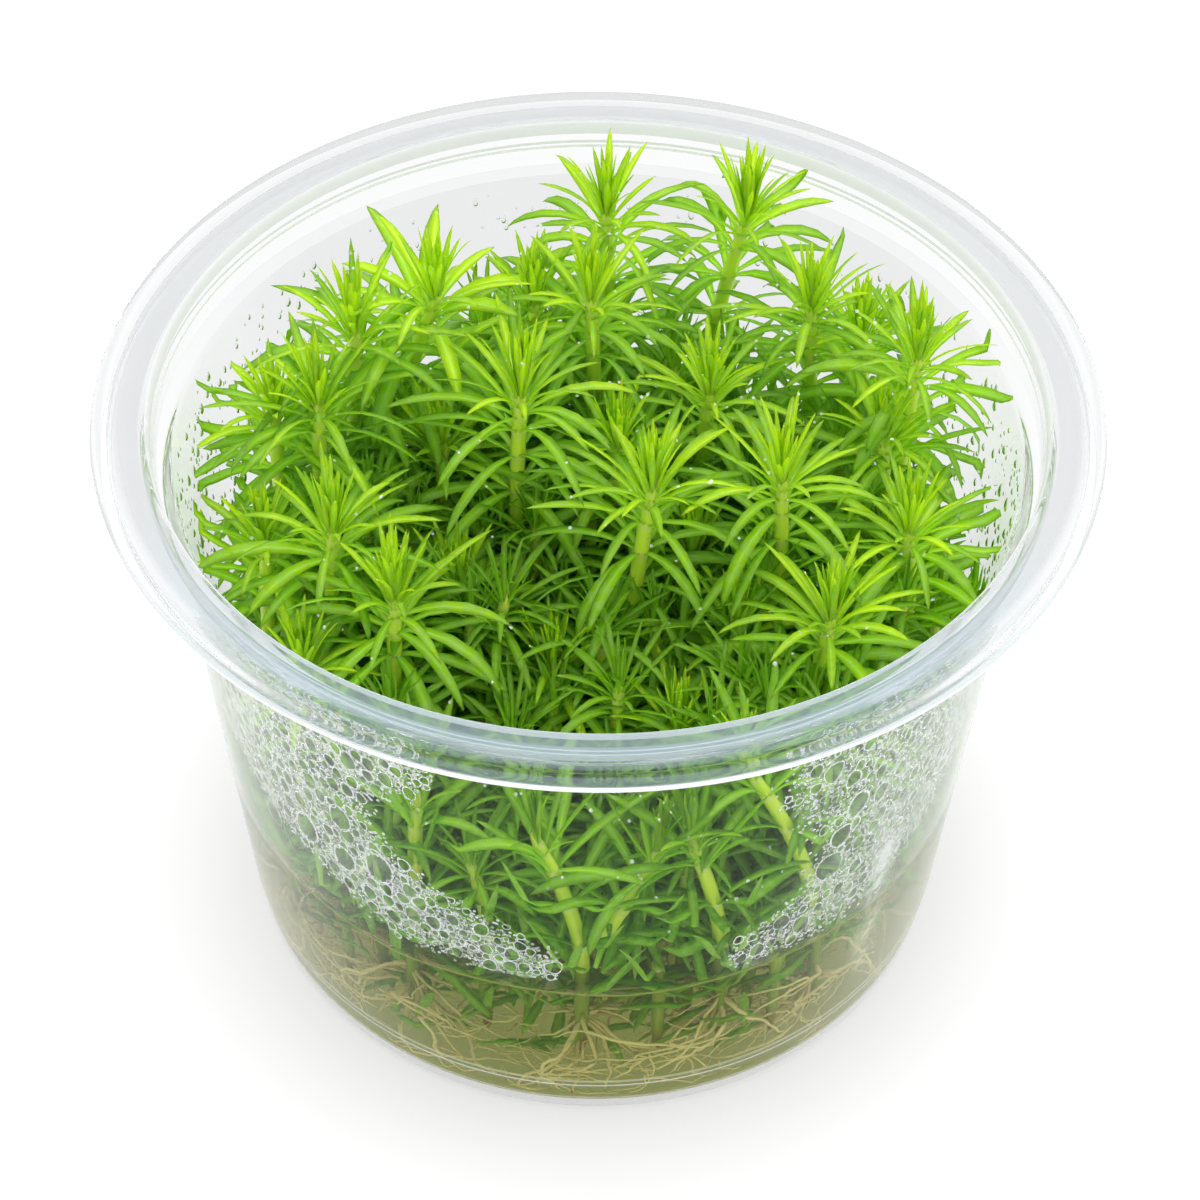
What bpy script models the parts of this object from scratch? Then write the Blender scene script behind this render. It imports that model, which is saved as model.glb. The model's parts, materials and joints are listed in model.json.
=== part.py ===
"""Limnophila in its culture tub: leafy shoots growing out of clear gel in an open plastic tub.

Lengths are in millimetres and MM turns them into Blender's metres. The origin is the centre of
the tub's underside, +Z runs up the tub's axis, and -Y is the side that faces the viewer.
"""

import math

import bmesh
import bpy
import numpy as np
from mathutils import Vector

MM = 0.001

# The tub, by its outer surface
RIM_RADIUS = 50.0
TUB_HEIGHT = 68.5
BASE_RADIUS = 38.3
WALL_TOP_RADIUS = 43.4
WALL_TOP = 62.2
WALL = 0.9
FOOT_RECESS = 0.8
FLOOR_TOP = FOOT_RECESS + 1.1
FLOOR_CORNER = 1.4
BASE_STEP = 0.25
BASE_STEP_HEIGHT = 5.8
TUB_STEPS = 32

# The gel, which is poured in and climbs a little up the wall
GAP = 0.3
GEL_TOP = 21.5
MENISCUS = 1.4
GEL_FLAT_RADIUS = 36.8

# The plant
STEM_RADIUS = 0.75
STEM_SIDES_RESOLUTION = 1
FOOT_DEPTH = 11.0
BUD_HEIGHT = 2.0
LEAF_WIDTH = 1.35
LEAF_THICKNESS = 0.45
NODE_SPACING = 7.0
LEAF_CLEARANCE = 0.55
SHORTER_LEAF = 0.94
BUD_LEAF = 0.8

# How the leaves stand, in degrees above the level
BUD_PITCH = 66.0
WHORL_PITCH = 30.0
PITCH_LOST_PER_WHORL = 12.0
DROOP = 34.0
TURN_PER_SHOOT = 47.0

# Each shoot: where its stem leaves the gel (x, y), its crown (x, y, z), the length of its leaves
# and its number of leafy whorls
TALL_SHOOTS = (
    ("shoot_back_middle", (1.5, 30.0), (0.5, 30.5, 66.0), 11.0, 2),
    ("shoot_back_right", (10.0, 30.5), (15.5, 31.0, 65.5), 11.5, 2),
    ("shoot_right_back", (32.0, 15.0), (32.5, 10.5, 63.5), 11.0, 2),
    ("shoot_centre_left", (-9.0, 8.0), (-8.0, 7.0, 61.0), 13.5, 2),
    ("shoot_centre", (3.0, -2.5), (5.5, -3.5, 58.0), 12.0, 2),
    ("shoot_centre_right", (19.5, 0.0), (18.5, -2.0, 58.0), 12.0, 2),
    ("shoot_front_right", (22.0, -10.0), (23.5, -13.5, 50.0), 12.0, 2),
    ("shoot_front_left", (-21.0, -11.5), (-20.0, -13.5, 52.0), 12.0, 2),
    ("shoot_left_front", (-28.0, -3.0), (-26.5, -7.0, 55.0), 12.0, 2),
    ("shoot_left", (-30.0, 11.0), (-28.5, 6.0, 60.5), 12.0, 2),
    ("shoot_back_left", (-24.5, 22.0), (-17.0, 17.5, 65.0), 13.0, 2),
    ("shoot_left_back", (-27.0, 19.0), (-25.0, 12.5, 64.5), 11.5, 2),
    ("shoot_mid_right", (23.5, 25.0), (22.0, 19.5, 62.5), 11.0, 2),
    ("shoot_mid_back", (10.5, 17.5), (11.5, 12.0, 57.0), 11.0, 2),
    ("shoot_right", (33.5, 0.0), (31.5, -4.0, 53.0), 11.5, 2),
    ("shoot_mid_left", (0.0, 21.5), (-1.0, 18.5, 64.0), 11.0, 2),
)
LOW_SHOOTS = (
    ("shoot_low_01", (29.5, 22.0), (27.5, 20.5, 58.0), 10.0, 1),
    ("shoot_low_02", (-9.0, 26.0), (-7.0, 22.5, 60.0), 10.5, 1),
    ("shoot_low_03", (-34.0, 10.5), (-33.5, 8.5, 57.0), 9.5, 1),
    ("shoot_low_04", (-34.5, -4.5), (-34.0, -3.0, 50.0), 10.0, 1),
    ("shoot_low_05", (-17.0, 13.0), (-16.5, 11.5, 50.0), 12.0, 1),
    ("shoot_low_06", (2.5, 9.0), (2.0, 6.5, 54.5), 10.0, 1),
    ("shoot_low_07", (9.5, 4.5), (10.0, 2.0, 43.0), 12.0, 1),
    ("shoot_low_08", (14.0, -5.5), (14.5, -7.0, 41.0), 12.0, 1),
    ("shoot_low_09", (-16.0, -1.0), (-14.5, -2.5, 42.0), 12.0, 1),
    ("shoot_low_10", (-5.0, -9.0), (-4.5, -9.5, 38.0), 12.0, 1),
    ("shoot_low_11", (31.0, 9.0), (29.5, 8.0, 55.0), 10.5, 1),
    ("shoot_low_12", (-30.0, -17.0), (-29.5, -15.5, 44.0), 11.0, 1),
    ("shoot_low_13", (9.5, -18.0), (8.5, -17.5, 37.0), 12.0, 1),
)
FRONT_SHOOTS = (
    ("shoot_wall_middle", (-1.0, -35.0), (-5.5, -32.5, 38.5), 12.5, 2),
    ("shoot_wall_branch", (1.0, -34.4), (6.5, -31.5, 36.0), 11.0, 1),
    ("shoot_wall_right", (13.0, -33.0), (9.5, -31.0, 37.5), 11.0, 1),
    ("shoot_wall_far_right", (22.5, -28.5), (15.0, -26.5, 43.0), 11.5, 1),
    ("shoot_wall_left", (-18.0, -29.5), (-17.5, -27.5, 39.0), 12.0, 1),
)
# This one is a side branch, which leaves the shoot beside it at this height above the gel
BRANCH = "shoot_wall_branch"
BRANCH_HEIGHT = 25.5

# Colour, roughness and how much light passes
FINISHES = {
    "clear_tub": ((0.90, 0.92, 0.93), 0.12, 0.92),
    "culture_gel": ((0.70, 0.69, 0.52), 0.10, 0.85),
    "shoot_green": ((0.20, 0.45, 0.03), 0.42, 0.0),
}


def clear_scene():
    for item in list(bpy.data.objects):
        bpy.data.objects.remove(item)


def new_collection(name):
    collection = bpy.data.collections.new(name)
    bpy.context.scene.collection.children.link(collection)
    return collection


def new_material(name):
    colour, roughness, transmission = FINISHES[name]
    material = bpy.data.materials.new(name)
    material.use_nodes = True
    shader = material.node_tree.nodes["Principled BSDF"]
    shader.inputs["Base Color"].default_value = (*colour, 1.0)
    shader.inputs["Roughness"].default_value = roughness
    shader.inputs["Metallic"].default_value = 0.0
    shader.inputs["Transmission Weight"].default_value = transmission
    material.diffuse_color = (*colour, 1.0 - 0.6 * transmission)
    return material


def outer_radius(z):
    """The wall's outer radius at height z."""
    return BASE_RADIUS + (WALL_TOP_RADIUS - BASE_RADIUS) * z / WALL_TOP


def inner_radius(z):
    return outer_radius(z) - WALL


def tub_profile():
    """From the floor's centre up the inside, over the rim and down the outside to the foot."""
    corner = FLOOR_TOP + FLOOR_CORNER
    inside = [
        (0.0, FLOOR_TOP),
        (inner_radius(corner) - FLOOR_CORNER, FLOOR_TOP),
        (inner_radius(corner), corner),
        (inner_radius(WALL_TOP), WALL_TOP),
    ]
    rim = [
        (43.8, WALL_TOP + 0.4),
        (44.3, 67.9),
        (46.6, 67.7),
        (48.2, TUB_HEIGHT),
        (49.4, 68.2),
        (RIM_RADIUS, 67.4),
        (49.7, 66.0),
        (48.8, 64.8),
        (48.0, 65.1),
        (48.4, 67.2),
        (46.6, 66.7),
        (45.2, 66.9),
        (44.7, WALL_TOP - 0.1),
    ]
    outside = [
        (outer_radius(WALL_TOP - 1.2), WALL_TOP - 1.2),
        (outer_radius(BASE_STEP_HEIGHT), BASE_STEP_HEIGHT),
        (outer_radius(BASE_STEP_HEIGHT - 0.4) - BASE_STEP, BASE_STEP_HEIGHT - 0.4),
        (outer_radius(1.5) - BASE_STEP, 1.5),
        (BASE_RADIUS - 0.7, 0.4),
        (BASE_RADIUS - 1.7, 0.0),
        (BASE_RADIUS - 4.8, 0.0),
        (BASE_RADIUS - 5.4, FOOT_RECESS),
        (0.0, FOOT_RECESS),
    ]
    return inside + rim + outside


def gel_profile():
    """From the centre of the gel's top out to the wall, then down to the floor."""
    top_edge = GEL_TOP + MENISCUS
    corner = FLOOR_TOP + FLOOR_CORNER
    return [
        (0.0, GEL_TOP),
        (GEL_FLAT_RADIUS, GEL_TOP),
        (inner_radius(top_edge) - GAP, top_edge),
        (inner_radius(corner) - GAP, corner + GAP / 2),
        (inner_radius(corner) - GAP - FLOOR_CORNER, FLOOR_TOP + GAP),
        (0.0, FLOOR_TOP + GAP),
    ]


def turned(name, profile, steps, material, collection):
    """A profile in the XZ plane turned about Z."""
    mesh = bpy.data.meshes.new(name)
    points = [(r * MM, 0.0, z * MM) for r, z in profile]
    mesh.from_pydata(points, [(i, i + 1) for i in range(len(points) - 1)], [])
    piece = bpy.data.objects.new(name, mesh)
    collection.objects.link(piece)
    screw = piece.modifiers.new("turn", "SCREW")
    screw.axis = "Z"
    screw.steps = steps
    screw.render_steps = steps
    screw.use_merge_vertices = True
    screw.merge_threshold = 0.00001
    screw.use_smooth_shade = True
    mesh.materials.append(material)
    return piece


def stem_points(root, crown):
    """The stem's route: upright in the gel, then a gentle lean to the crown and its bud."""
    start = Vector((root[0], root[1], GEL_TOP))
    end = Vector(crown)
    bend = start + Vector((0.0, 0.0, 0.45 * (end.z - start.z)))
    above = []
    for i in range(4):
        t = i / 3
        above.append(start * (1 - t) ** 2 + bend * 2 * t * (1 - t) + end * t**2)
    lean = (above[-1] - above[-2]).normalized()
    bud = end + lean * BUD_HEIGHT
    return [start - Vector((0.0, 0.0, FOOT_DEPTH))] + above[1:] + [bud]


def tube_mesh(name, points, radii):
    """A closed tube through the points, as a welded mesh."""
    curve = bpy.data.curves.new(name, "CURVE")
    curve.dimensions = "3D"
    curve.bevel_depth = MM
    curve.bevel_resolution = STEM_SIDES_RESOLUTION
    curve.use_fill_caps = True
    spline = curve.splines.new("POLY")
    spline.points.add(len(points) - 1)
    for slot, point, radius in zip(spline.points, points, radii):
        slot.co = (*(point * MM), 1.0)
        slot.radius = radius
    guide = bpy.data.objects.new(name, curve)
    bpy.context.scene.collection.objects.link(guide)
    graph = bpy.context.evaluated_depsgraph_get()
    mesh = bpy.data.meshes.new_from_object(guide.evaluated_get(graph))
    bpy.data.objects.remove(guide)
    bm = bmesh.new()
    bm.from_mesh(mesh)
    bmesh.ops.remove_doubles(bm, verts=bm.verts, dist=0.00001)
    bmesh.ops.recalc_face_normals(bm, faces=bm.faces)
    bm.to_mesh(mesh)
    bm.free()
    return mesh


def direction(azimuth, pitch):
    return Vector(
        (
            math.cos(azimuth) * math.cos(pitch),
            math.sin(azimuth) * math.cos(pitch),
            math.sin(pitch),
        )
    )


def leaf_line(base, azimuth, pitch, droop, length):
    """Base, widest point and tip of a leaf that leaves the stem at pitch and droops beyond."""
    middle = base + direction(azimuth, pitch) * 0.48 * length
    tip = middle + direction(azimuth, pitch - droop) * 0.52 * length
    return [base, middle, tip]


def inside_tub(points):
    """Whether a leaf stays clear of the tub and above the gel."""
    for point in points[1:]:
        reach = math.hypot(point.x, point.y)
        if reach > inner_radius(min(point.z, WALL_TOP)) - LEAF_WIDTH / 2 - GAP:
            return False
        if point.z < GEL_TOP + MENISCUS + GAP:
            return False
    return True


def clear_of(points, taken):
    """Whether a leaf keeps its clearance to every (start, end, radius) that is taken."""
    if not taken:
        return True
    starts = np.array([start for start, _, _ in taken])
    ends = np.array([end for _, end, _ in taken])
    least = np.array([radius for _, _, radius in taken]) + LEAF_WIDTH / 2 + LEAF_CLEARANCE
    runs = ends - starts
    squares = np.maximum((runs * runs).sum(axis=1), 1e-9)
    for a, b in zip(points[:-1], points[1:]):
        for t in np.linspace(0.0, 1.0, 6):
            point = np.array(a.lerp(b, t))
            along = np.clip(((point - starts) * runs).sum(axis=1) / squares, 0.0, 1.0)
            apart = np.linalg.norm(starts + runs * along[:, None] - point, axis=1)
            if (apart < least).any():
                return False
    return True


def segments(points, radius):
    return [(tuple(a), tuple(b), radius) for a, b in zip(points[:-1], points[1:])]


def settle_leaf(base, azimuth, pitch, droop, length, taken):
    """The leaf nearest to the wanted one that meets nothing, or None where there is no room."""
    for factor in (1.0, 0.85, 0.7, 0.55):
        for lift in (0.0, 14.0, 28.0):
            for turn in (0.0, 9.0, -9.0, 18.0, -18.0):
                line = leaf_line(
                    base,
                    azimuth + math.radians(turn),
                    math.radians(min(pitch + lift, 82.0)),
                    math.radians(droop),
                    length * factor,
                )
                if inside_tub(line) and clear_of(line, taken):
                    return line
    return None


def add_leaf(bm, line):
    """A leaf as a long three-sided lens: wide and flat at its middle, pointed at both ends."""
    base, middle, tip = line
    run = (tip - base).normalized()
    side = run.cross(Vector((0.0, 0.0, 1.0))).normalized()
    up = side.cross(run).normalized()
    made = bmesh.ops.create_uvsphere(bm, u_segments=3, v_segments=2, radius=1.0)
    for vert in made["verts"]:
        if vert.co.z > 0.5:
            vert.co = tip * MM
        elif vert.co.z < -0.5:
            vert.co = base * MM
        else:
            across = side * vert.co.y / math.sin(math.radians(60.0)) * LEAF_WIDTH / 2
            vert.co = (middle + across - up * vert.co.x * LEAF_THICKNESS * 0.65) * MM
    bmesh.ops.recalc_face_normals(bm, faces=list({f for v in made["verts"] for f in v.link_faces}))


def point_down_stem(stem, distance):
    """The point at this distance below the crown, which is the last point but one of the stem."""
    upper = len(stem) - 2
    while upper > 0:
        run = stem[upper] - stem[upper - 1]
        if distance <= run.length or upper == 1:
            return stem[upper] - run.normalized() * distance
        distance -= run.length
        upper -= 1
    return stem[0]


def leaves_of(number, stem, length, whorls, per_whorl, rosette, taken):
    """The lines of a shoot's leaves: upright ones round the bud, then whorls down the stem."""
    lines = []
    first = math.radians(TURN_PER_SHOOT * number)
    for i in range(rosette):
        base = point_down_stem(stem, -0.5 - 0.25 * i)
        azimuth = first + math.tau * (i + 0.5) / rosette
        pitch = BUD_PITCH + 5.0 * (i % 2)
        lines.append(settle_leaf(base, azimuth, pitch, -6.0, BUD_LEAF * length, taken))
    for j in range(whorls):
        for i in range(per_whorl):
            base = point_down_stem(stem, NODE_SPACING * j + 0.22 * i)
            azimuth = first + math.tau * (i + 0.5 * j) / per_whorl
            pitch = WHORL_PITCH - PITCH_LOST_PER_WHORL * j
            wanted = length * (SHORTER_LEAF if i % 2 else 1.0)
            lines.append(settle_leaf(base, azimuth, pitch, DROOP, wanted, taken))
    return [line for line in lines if line]


def shoot(name, stem, lines, material, collection, helpers):
    """A stem with its leaves grown onto it."""
    radii = [STEM_RADIUS] * (len(stem) - 1) + [0.45 * STEM_RADIUS]
    piece = bpy.data.objects.new(name, tube_mesh(name, stem, radii))
    collection.objects.link(piece)
    bm = bmesh.new()
    for line in lines:
        add_leaf(bm, line)
    leaf_mesh = bpy.data.meshes.new(name + "_leaves")
    bm.to_mesh(leaf_mesh)
    bm.free()
    leaves = bpy.data.objects.new(name + "_leaves", leaf_mesh)
    helpers.objects.link(leaves)
    leaves.hide_render = True
    leaves.display_type = "WIRE"
    grown = piece.modifiers.new("leaves", "BOOLEAN")
    grown.operation = "UNION"
    grown.solver = "EXACT"
    grown.use_self = True
    grown.object = leaves
    piece.data.materials.append(material)
    return piece


def cut_pockets(gel, stems, helpers):
    """Room in the gel for every stem's foot, open at the top."""
    bm = bmesh.new()
    for index, stem in enumerate(stems):
        foot = stem[0] - Vector((0.0, 0.0, GAP))
        if foot.z > GEL_TOP:
            continue
        rise = stem[1] - stem[0]
        mouth = foot + rise * ((GEL_TOP + 3.0 - foot.z) / rise.z)
        wide = (STEM_RADIUS + GAP) * 1.2
        pocket = tube_mesh(f"pocket_{index}", [foot, mouth], [wide, wide])
        bm.from_mesh(pocket)
        bpy.data.meshes.remove(pocket)
    mesh = bpy.data.meshes.new("gel_pockets")
    bm.to_mesh(mesh)
    bm.free()
    cutter = bpy.data.objects.new("gel_pockets", mesh)
    helpers.objects.link(cutter)
    cutter.hide_render = True
    cutter.display_type = "WIRE"
    cut = gel.modifiers.new("pockets", "BOOLEAN")
    cut.operation = "DIFFERENCE"
    cut.solver = "EXACT"
    cut.object = cutter


def plant(material, collection, helpers):
    """All shoots, tall ones first so that their leaves have the first choice of room."""
    rows = [(row, 6, 3) for row in TALL_SHOOTS]
    rows += [(row, 6, 3) for row in FRONT_SHOOTS]
    rows += [(row, 5, 3) for row in LOW_SHOOTS]
    stems = []
    for (name, root, crown, _, _), _, _ in rows:
        if name == BRANCH:
            fork = Vector((root[0], root[1], BRANCH_HEIGHT))
            end = Vector(crown)
            bud = end + (end - fork).normalized() * BUD_HEIGHT
            stems.append([fork, fork.lerp(end, 0.5), end, bud])
        else:
            stems.append(stem_points(root, crown))
    leaf_segments = []
    for number, ((name, _, _, length, whorls), per_whorl, rosette) in enumerate(rows):
        taken = list(leaf_segments)
        for other, stem in enumerate(stems):
            if other != number:
                taken += segments(stem, STEM_RADIUS)
        lines = leaves_of(number, stems[number], length, whorls, per_whorl, rosette, taken)
        for line in lines:
            leaf_segments += segments(line, LEAF_WIDTH / 2)
        shoot(name, stems[number], lines, material, collection, helpers)
    return stems


def main():
    clear_scene()
    parts = new_collection("limnophila_tub")
    helpers = new_collection("cutters")
    helpers.hide_render = True
    turned("tub", tub_profile(), TUB_STEPS, new_material("clear_tub"), parts)
    gel = turned("gel", gel_profile(), TUB_STEPS, new_material("culture_gel"), parts)
    stems = plant(new_material("shoot_green"), parts, helpers)
    cut_pockets(gel, stems, helpers)


main()
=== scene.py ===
"""Limnophila in its culture tub: how the tub, the gel and the plants look.

Lengths are in millimetres, as in the part's source, and MM turns them into metres. -Y faces the
viewer. A wall place is an angle in degrees, 0 at the front and growing to the right, and a height.
"""

import json
import math
import random

import bpy
import numpy as np
from bpy.props import FloatProperty, FloatVectorProperty, IntProperty, PointerProperty
from mathutils import Matrix, Vector

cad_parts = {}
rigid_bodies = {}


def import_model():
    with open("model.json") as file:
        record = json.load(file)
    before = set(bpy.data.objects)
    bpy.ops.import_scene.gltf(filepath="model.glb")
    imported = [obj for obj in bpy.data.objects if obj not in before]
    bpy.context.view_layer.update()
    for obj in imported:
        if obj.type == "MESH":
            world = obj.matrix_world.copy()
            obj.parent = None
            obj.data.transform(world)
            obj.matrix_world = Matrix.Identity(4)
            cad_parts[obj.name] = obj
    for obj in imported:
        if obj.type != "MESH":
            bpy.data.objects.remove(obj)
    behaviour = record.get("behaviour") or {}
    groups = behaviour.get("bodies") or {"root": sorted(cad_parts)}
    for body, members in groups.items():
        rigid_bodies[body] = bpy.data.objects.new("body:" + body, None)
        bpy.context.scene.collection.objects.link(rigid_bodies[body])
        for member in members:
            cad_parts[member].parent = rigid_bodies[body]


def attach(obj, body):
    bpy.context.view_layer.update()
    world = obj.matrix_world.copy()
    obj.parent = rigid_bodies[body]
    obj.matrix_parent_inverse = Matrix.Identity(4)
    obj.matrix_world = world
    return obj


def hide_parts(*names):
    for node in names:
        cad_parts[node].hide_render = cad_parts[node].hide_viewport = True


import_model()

bl_info = {
    "name": "Limnophila culture tub",
    "version": (1, 0, 0),
    "blender": (4, 5, 0),
    "location": "View3D > Sidebar > Limnophila",
    "description": "Builds the looks of a tub of gel with limnophila shoots",
    "category": "Object",
}

MM = 0.001
UP = Vector((0.0, 0.0, 1.0))
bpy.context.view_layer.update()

# The tub and the gel, as the part's source has them
RIM_RADIUS = 50.0
TUB_HEIGHT = 68.5
BASE_RADIUS = 38.3
WALL_TOP_RADIUS = 43.4
WALL_TOP = 62.2
WALL = 0.9
FOOT_RECESS = 0.8
FLOOR_TOP = 1.9
GEL_SAG = 0.6  # how much lower the gel reaches here than in the part's source
BASE_STEP = 0.25
BASE_STEP_HEIGHT = 5.8
# Edges where a painted highlight runs as a thin white line: two heights and a radius
STEP_HIGHLIGHT = 5.62
LIP_HIGHLIGHT = 64.85
INNER_HIGHLIGHT = 44.35
GEL_TOP = 21.5
MENISCUS = 1.4
STEM_RADIUS = 0.75
FOOT_DEPTH = 11.0
FOOT_TIP = 2.5  # the stem's tapered end, which the part's source leaves out
BUD_HEIGHT = 2.0

# Each shoot as the part's source has it: node, root (x, y), crown (x, y, z), leaf length
TALL_SHOOTS = (
    ("shoot_back_middle", (1.5, 30.0), (0.5, 30.5, 66.0), 11.0),
    ("shoot_back_right", (10.0, 30.5), (15.5, 31.0, 65.5), 11.5),
    ("shoot_right_back", (32.0, 15.0), (32.5, 10.5, 63.5), 11.0),
    ("shoot_centre_left", (-9.0, 8.0), (-8.0, 7.0, 61.0), 13.5),
    ("shoot_centre", (3.0, -2.5), (5.5, -3.5, 58.0), 12.0),
    ("shoot_centre_right", (19.5, 0.0), (18.5, -2.0, 58.0), 12.0),
    ("shoot_front_right", (22.0, -10.0), (23.5, -13.5, 50.0), 12.0),
    ("shoot_front_left", (-21.0, -11.5), (-20.0, -13.5, 52.0), 12.0),
    ("shoot_left_front", (-28.0, -3.0), (-26.5, -7.0, 55.0), 12.0),
    ("shoot_left", (-30.0, 11.0), (-28.5, 6.0, 60.5), 12.0),
    ("shoot_back_left", (-24.5, 22.0), (-17.0, 17.5, 65.0), 13.0),
    ("shoot_left_back", (-27.0, 19.0), (-25.0, 12.5, 64.5), 11.5),
    ("shoot_mid_right", (23.5, 25.0), (22.0, 19.5, 62.5), 11.0),
    ("shoot_mid_back", (10.5, 17.5), (11.5, 12.0, 57.0), 11.0),
    ("shoot_right", (33.5, 0.0), (31.5, -4.0, 53.0), 11.5),
    ("shoot_mid_left", (0.0, 21.5), (-1.0, 18.5, 64.0), 11.0),
)
LOW_SHOOTS = (
    ("shoot_low_01", (29.5, 22.0), (27.5, 20.5, 58.0), 10.0),
    ("shoot_low_02", (-9.0, 26.0), (-7.0, 22.5, 60.0), 10.5),
    ("shoot_low_03", (-34.0, 10.5), (-33.5, 8.5, 57.0), 9.5),
    ("shoot_low_04", (-34.5, -4.5), (-34.0, -3.0, 50.0), 10.0),
    ("shoot_low_05", (-17.0, 13.0), (-16.5, 11.5, 50.0), 12.0),
    ("shoot_low_06", (2.5, 9.0), (2.0, 6.5, 54.5), 10.0),
    ("shoot_low_07", (9.5, 4.5), (10.0, 2.0, 43.0), 12.0),
    ("shoot_low_08", (14.0, -5.5), (14.5, -7.0, 41.0), 12.0),
    ("shoot_low_09", (-16.0, -1.0), (-14.5, -2.5, 42.0), 12.0),
    ("shoot_low_10", (-5.0, -9.0), (-4.5, -9.5, 38.0), 12.0),
    ("shoot_low_11", (31.0, 9.0), (29.5, 8.0, 55.0), 10.5),
    ("shoot_low_12", (-30.0, -17.0), (-29.5, -15.5, 44.0), 11.0),
    ("shoot_low_13", (9.5, -18.0), (8.5, -17.5, 37.0), 12.0),
)
FRONT_SHOOTS = (
    ("shoot_wall_middle", (-1.0, -35.0), (-5.5, -32.5, 38.5), 12.5),
    ("shoot_wall_branch", (1.0, -34.4), (6.5, -31.5, 36.0), 11.0),
    ("shoot_wall_right", (13.0, -33.0), (9.5, -31.0, 37.5), 11.0),
    ("shoot_wall_far_right", (22.5, -28.5), (15.0, -26.5, 43.0), 11.5),
    ("shoot_wall_left", (-18.0, -29.5), (-17.5, -27.5, 39.0), 12.0),
)
BRANCH = "shoot_wall_branch"
PALE_SHOOT = "shoot_back_left"
BRANCH_HEIGHT = 25.5


# ---------------------------------------------------------------- settings


class TubSettings(bpy.types.PropertyGroup):
    steps: IntProperty(
        name="Steps round", description="Faces round the tub", default=168, min=48, max=256
    )
    tint: FloatVectorProperty(
        name="Plastic", description="Colour of the clear plastic", subtype="COLOR",
        default=(0.92, 0.923, 0.93), min=0.0, max=1.0,
    )
    # The fog colour also paints the highlight streak down the wall
    fog: FloatVectorProperty(
        name="Fog", description="Colour of the mist on the wall", subtype="COLOR",
        default=(0.95, 0.955, 0.95), min=0.0, max=1.0,
    )
    # The haze colour is the plastic's milkiness and also a painted reflection: its grey-blue stands
    # for the darker surroundings that clear plastic shows
    haze_and_reflection: FloatVectorProperty(
        name="Haze", description="Colour of the plastic's milky haze", subtype="COLOR",
        default=(0.48, 0.58, 0.65), min=0.0, max=1.0,
    )


class GelSettings(bpy.types.PropertyGroup):
    tint: FloatVectorProperty(
        name="Gel", description="Colour of the gel", subtype="COLOR",
        default=(0.52, 0.54, 0.15), min=0.0, max=1.0,
    )
    # Painted shade: a dark green tint on the gel's top, for the shade and green cast of the low
    # growth over it
    surface: FloatVectorProperty(
        name="Surface", description="Tint of the gel's top, over which low growth casts its colour",
        subtype="COLOR", default=(0.17, 0.215, 0.035), min=0.0, max=1.0,
    )
    cloud: FloatVectorProperty(
        name="Cloud", description="Colour of what clouds the gel", subtype="COLOR",
        default=(0.52, 0.51, 0.17), min=0.0, max=1.0,
    )
    ripple: FloatProperty(
        name="Ripple", description="Height of the waves where the gel meets the wall",
        default=0.0005, min=0.0, max=0.002, unit="LENGTH",
    )
    root_colour: FloatVectorProperty(
        name="Roots", description="Colour of the roots", subtype="COLOR",
        default=(0.82, 0.77, 0.42), min=0.0, max=1.0,
    )


class ShootSettings(bpy.types.PropertyGroup):
    young: FloatVectorProperty(
        name="Young leaf", description="Colour of the leaves round a bud", subtype="COLOR",
        default=(0.64, 0.85, 0.002), min=0.0, max=1.0,
    )
    grown: FloatVectorProperty(
        name="Grown leaf", description="Colour of the leaves below a crown", subtype="COLOR",
        default=(0.53, 0.85, 0.006), min=0.0, max=1.0,
    )
    old: FloatVectorProperty(
        name="Old leaf", description="Colour of the leaves low in the tub", subtype="COLOR",
        default=(0.24, 0.52, 0.008), min=0.0, max=1.0,
    )
    stem: FloatVectorProperty(
        name="Stem", description="Colour of the stems", subtype="COLOR",
        default=(0.74, 0.92, 0.08), min=0.0, max=1.0,
    )
    leaf_width: FloatProperty(
        name="Leaf width", description="Width of a full-grown leaf",
        default=0.00135, min=0.0005, max=0.003, unit="LENGTH",
    )
    leaf_thickness: FloatProperty(
        name="Leaf thickness", description="Thickness of a full-grown leaf",
        default=0.00028, min=0.0001, max=0.001, unit="LENGTH",
    )
    carpet: IntProperty(
        name="Low leaves", description="Number of loose leaves low over the gel",
        default=620, min=1, max=1500,
    )
    sunken: IntProperty(
        name="Sunken leaves", description="Number of loose leaves in the gel",
        default=430, min=1, max=800,
    )
    undergrowth: IntProperty(
        name="Undergrowth", description="Number of short shoots between the others",
        default=80, min=0, max=110,
    )


class WaterSettings(bpy.types.PropertyGroup):
    wall_cells: IntProperty(
        name="Wall cells", description="Number of cells of condensation on the wall",
        default=6400, min=1, max=7000,
    )
    mist_drops: IntProperty(
        name="Mist drops", description="Number of small drops high on the wall",
        default=520, min=10, max=1500,
    )
    leaf_drops: IntProperty(
        name="Leaf drops", description="Number of small drops on the leaves",
        default=640, min=1, max=900,
    )


class StageSettings(bpy.types.PropertyGroup):
    floor_size: FloatProperty(
        name="Floor", description="Side of the floor", default=3.0, min=1.0, unit="LENGTH"
    )
    sky: FloatProperty(
        name="Sky", description="Strength of the light from all round", default=1.12, min=0.0
    )
    key: FloatProperty(
        name="Key light", description="Power of the large lamp overhead", default=2.6,
        min=0.0, unit="POWER",
    )
    side: FloatProperty(
        name="Side light", description="Power of the tall lamp on the right", default=0.45,
        min=0.0, unit="POWER",
    )


# ---------------------------------------------------------------- modelling by operators

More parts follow.
